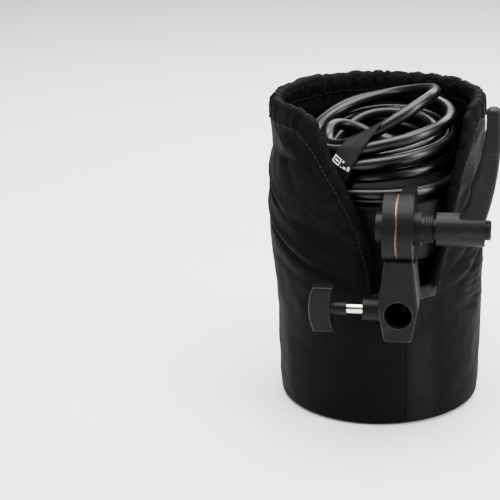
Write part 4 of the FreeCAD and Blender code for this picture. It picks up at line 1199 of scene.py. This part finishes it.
def hull(points):
    """Convex hull of plane points, counterclockwise."""
    points = sorted(set(points))

    def half(run):
        kept = []
        for point in run:
            while len(kept) > 1 and ((kept[-1][0] - kept[-2][0]) * (point[1] - kept[-2][1])
                                     - (kept[-1][1] - kept[-2][1]) * (point[0] - kept[-2][0])) <= 0:
                kept.pop()
            kept.append(point)
        return kept[:-1]

    return half(points) + half(points[::-1])


def strap_frame():
    """The strap's outward way, and the way across its width."""
    angle = math.radians(STRAP_TURN)
    out = Vector((math.sin(angle), -math.cos(angle), 0))
    ahead = Vector((math.cos(angle), math.sin(angle), 0))
    slant = math.radians(STRAP_SLANT)
    up = Vector((0, 0, 1)) * math.cos(slant) + ahead * math.sin(slant)
    return out, out.cross(up).normalized()


def strand_places(line, out, across, offset, middle):
    """Where the cable passes through a plane of the strap, as (outward, upward) in that plane."""
    up = across.cross(out)
    places = []
    for before, after in zip(line, line[1:]):
        one = (before - middle).dot(across) - offset
        two = (after - middle).dot(across) - offset
        if (one < 0) != (two < 0):
            place = before.lerp(after, one / (one - two)) - middle
            if place.dot(out) > CORE_RADIUS - middle.dot(out) and before.z < TIED_BELOW:
                places.append((place.dot(out), place.dot(up)))
    return places


def build_strap():
    """Band round the tied strands, in slices across its width that each hug the strands."""
    line = cable_line(cable, 8)
    out, across = strap_frame()
    up = across.cross(out)
    middle = out * 0.041 + Vector((0, 0, 0.166))
    around, slices = 96, 9
    reach = CORD_DIAMETER / 2 + STRAP_GAP
    rings = []
    for offset in np.linspace(-STRAP_WIDTH / 2, STRAP_WIDTH / 2, slices):
        places = strand_places(line, out, across, float(offset), middle)
        rim_points = [(x + reach * math.cos(a), y + reach * math.sin(a))
                      for x, y in places for a in np.linspace(0, 2 * math.pi, 24, endpoint=False)]
        shape = hull([(round(x, 7), round(y, 7)) for x, y in rim_points])
        rings.append((even_ring(shape, around), float(offset)))
    points = []
    for layer, sign in ((0.5 * MM, 1), (-0.5 * MM, -1)):
        for ring, offset in rings[::sign]:
            for index, (x, y) in enumerate(ring):
                behind, ahead = ring[index - 1], ring[(index + 1) % around]
                normal = Vector((ahead[1] - behind[1], behind[0] - ahead[0])).normalized()
                edge = 1 - 0.5 * (abs(offset) / (STRAP_WIDTH / 2)) ** 6
                x, y = x + normal.x * layer * edge, y + normal.y * layer * edge
                points.append(middle + out * x + up * y + across * offset)
    faces = tube_faces(2 * slices, around, closed_path=True)
    piece = mesh_piece("cable_strap_band", points, faces, FINISH["strap_fabric"])
    return piece, rings, (out, up, across, middle)


def even_ring(shape, count):
    """Evenly spaced points round a closed outline, starting straight out from its middle."""
    shape = shape + [shape[0]]
    walked = walk([math.dist(a, b) for a, b in zip(shape, shape[1:])])
    across, up = np.array(shape).T
    fine = np.linspace(0, walked[-1], 8 * count, endpoint=False)
    out, lift = np.interp(fine, walked, across), np.interp(fine, walked, up)
    start = fine[np.argmin(np.abs(np.arctan2(lift - lift.mean(), out - out.mean())))]
    spots = (start + np.linspace(0, walked[-1], count, endpoint=False)) % walked[-1]
    return list(zip(np.interp(spots, walked, across), np.interp(spots, walked, up)))


strap, strap_rings, strap_axes = build_strap()
belongs(strap, "flash_head", "strap_fabric", "cable_strap")

# bars of a plain printed tag on the strap: (start, end) across its width and (low, high) round it
TAG_BARS = [((-6.8, -6.2), (-1.9, 1.9)), ((-6.2, -1.6), (1.4, 1.9)), ((-6.2, -1.6), (-1.9, -1.4)),
            ((-1.6, -1.0), (-1.9, 1.9)), ((-5.2, -2.6), (-0.4, 0.4)), ((0.2, 1.3), (-1.9, 1.9)),
            ((2.1, 4.0), (-1.9, -0.5)), ((4.8, 6.4), (-1.9, 0.7))]
TAG_AT = -1.0 * MM          # height from the strap's middle


def strap_surface(offset, height):
    """Place and outward way on the strap's outer face, at that height above the strap's middle."""
    out, up, across, middle = strap_axes
    widths = [width for _, width in strap_rings]
    index = int(np.clip(np.searchsorted(widths, offset) - 1, 0, len(widths) - 2))
    mix = (offset - widths[index]) / (widths[index + 1] - widths[index])
    found = []
    for ring, _ in (strap_rings[index], strap_rings[index + 1]):
        sides = [(first, second) for first, second in zip(ring, ring[1:] + ring[:1])
                 if (first[1] < height) != (second[1] < height)]
        first, second = max(sides, key=lambda side: side[0][0])
        run = Vector(second) - Vector(first)
        place = Vector(first) + run * (height - first[1]) / (second[1] - first[1])
        found.append((place, Vector((run.y, -run.x)).normalized()))
    place = found[0][0].lerp(found[1][0], mix)
    way = found[0][1].lerp(found[1][1], mix).normalized()
    return (middle + out * place.x + up * place.y + across * offset, out * way.x + up * way.y)


def build_tag():
    points, faces = [], []
    for (left, right), (low, high) in TAG_BARS:
        columns = 6
        base = len(points)
        for lift in (0.52 * MM, 0.62 * MM):
            for row in (low, high):
                for share in np.linspace(0, 1, columns):
                    place, way = strap_surface(-(left + (right - left) * share) * MM, TAG_AT + row * MM)
                    points.append(place + way * lift)
        for level in (0, 2 * columns):
            for column in range(columns - 1):
                start = base + level + column
                faces.append((start, start + 1, start + columns + 1, start + columns))
        edge = list(range(columns)) + list(range(2 * columns - 1, columns - 1, -1))
        for here, there in zip(edge, edge[1:] + edge[:1]):
            faces.append((base + here, base + there, base + 2 * columns + there, base + 2 * columns + here))
    return mesh_piece("strap_tag", points, faces, INK, smooth=False)


INK = print_ink()
tag = build_tag()
belongs(tag, "flash_head", "strap_fabric")

cable.data.materials.append(RUBBER)
belongs(cable, "flash_head", "cable_rubber", "cord_lead", "cord_coil")


# ---- floor and light ------------------------------------------------------------------------

LIT_POINT = (0, 0, 0.12)
# name, place, size in metres, power in watts
LIGHTS = (("top", (0.0, 0.0, 1.6), (1.6, 1.6), 120),
          ("key", (-0.9, -0.75, 0.8), (0.22, 0.8), 9),
          ("fill", (1.0, -0.45, 0.5), (0.25, 0.9), 20),
          ("back", (0.2, 0.9, 0.8), (1.2, 0.3), 14))


def build_stage():
    graph = Graph("floor", Roughness=0.7)
    mottle = graph.noise(3.0, 2.0)
    graph.out("Base Color", graph.blend(mottle, grey(0.86), grey(0.90)))
    floor = mesh_piece("floor", [(-4, -4, 0), (4, -4, 0), (4, 4, 0), (-4, 4, 0)], [(0, 1, 2, 3)],
                       graph.material, smooth=False)


def area_light(name, place, size, power):
    data = bpy.data.lights.new(name, "AREA")
    data.energy, data.shape = power, "RECTANGLE"
    data.size, data.size_y = size
    lamp = bpy.data.objects.new(name, data)
    bpy.context.scene.collection.objects.link(lamp)
    lamp.location = place
    lamp.rotation_mode = "QUATERNION"
    lamp.rotation_quaternion = (Vector(place) - Vector(LIT_POINT)).to_track_quat("Z", "Y")


def light_scene():
    world = bpy.data.worlds.new("studio")
    world.use_nodes = True
    world.node_tree.nodes["Background"].inputs["Color"].default_value = (1, 1, 1, 1)
    world.node_tree.nodes["Background"].inputs["Strength"].default_value = 0.12
    bpy.context.scene.world = world
    for light in LIGHTS:
        area_light(*light)


build_stage()
light_scene()
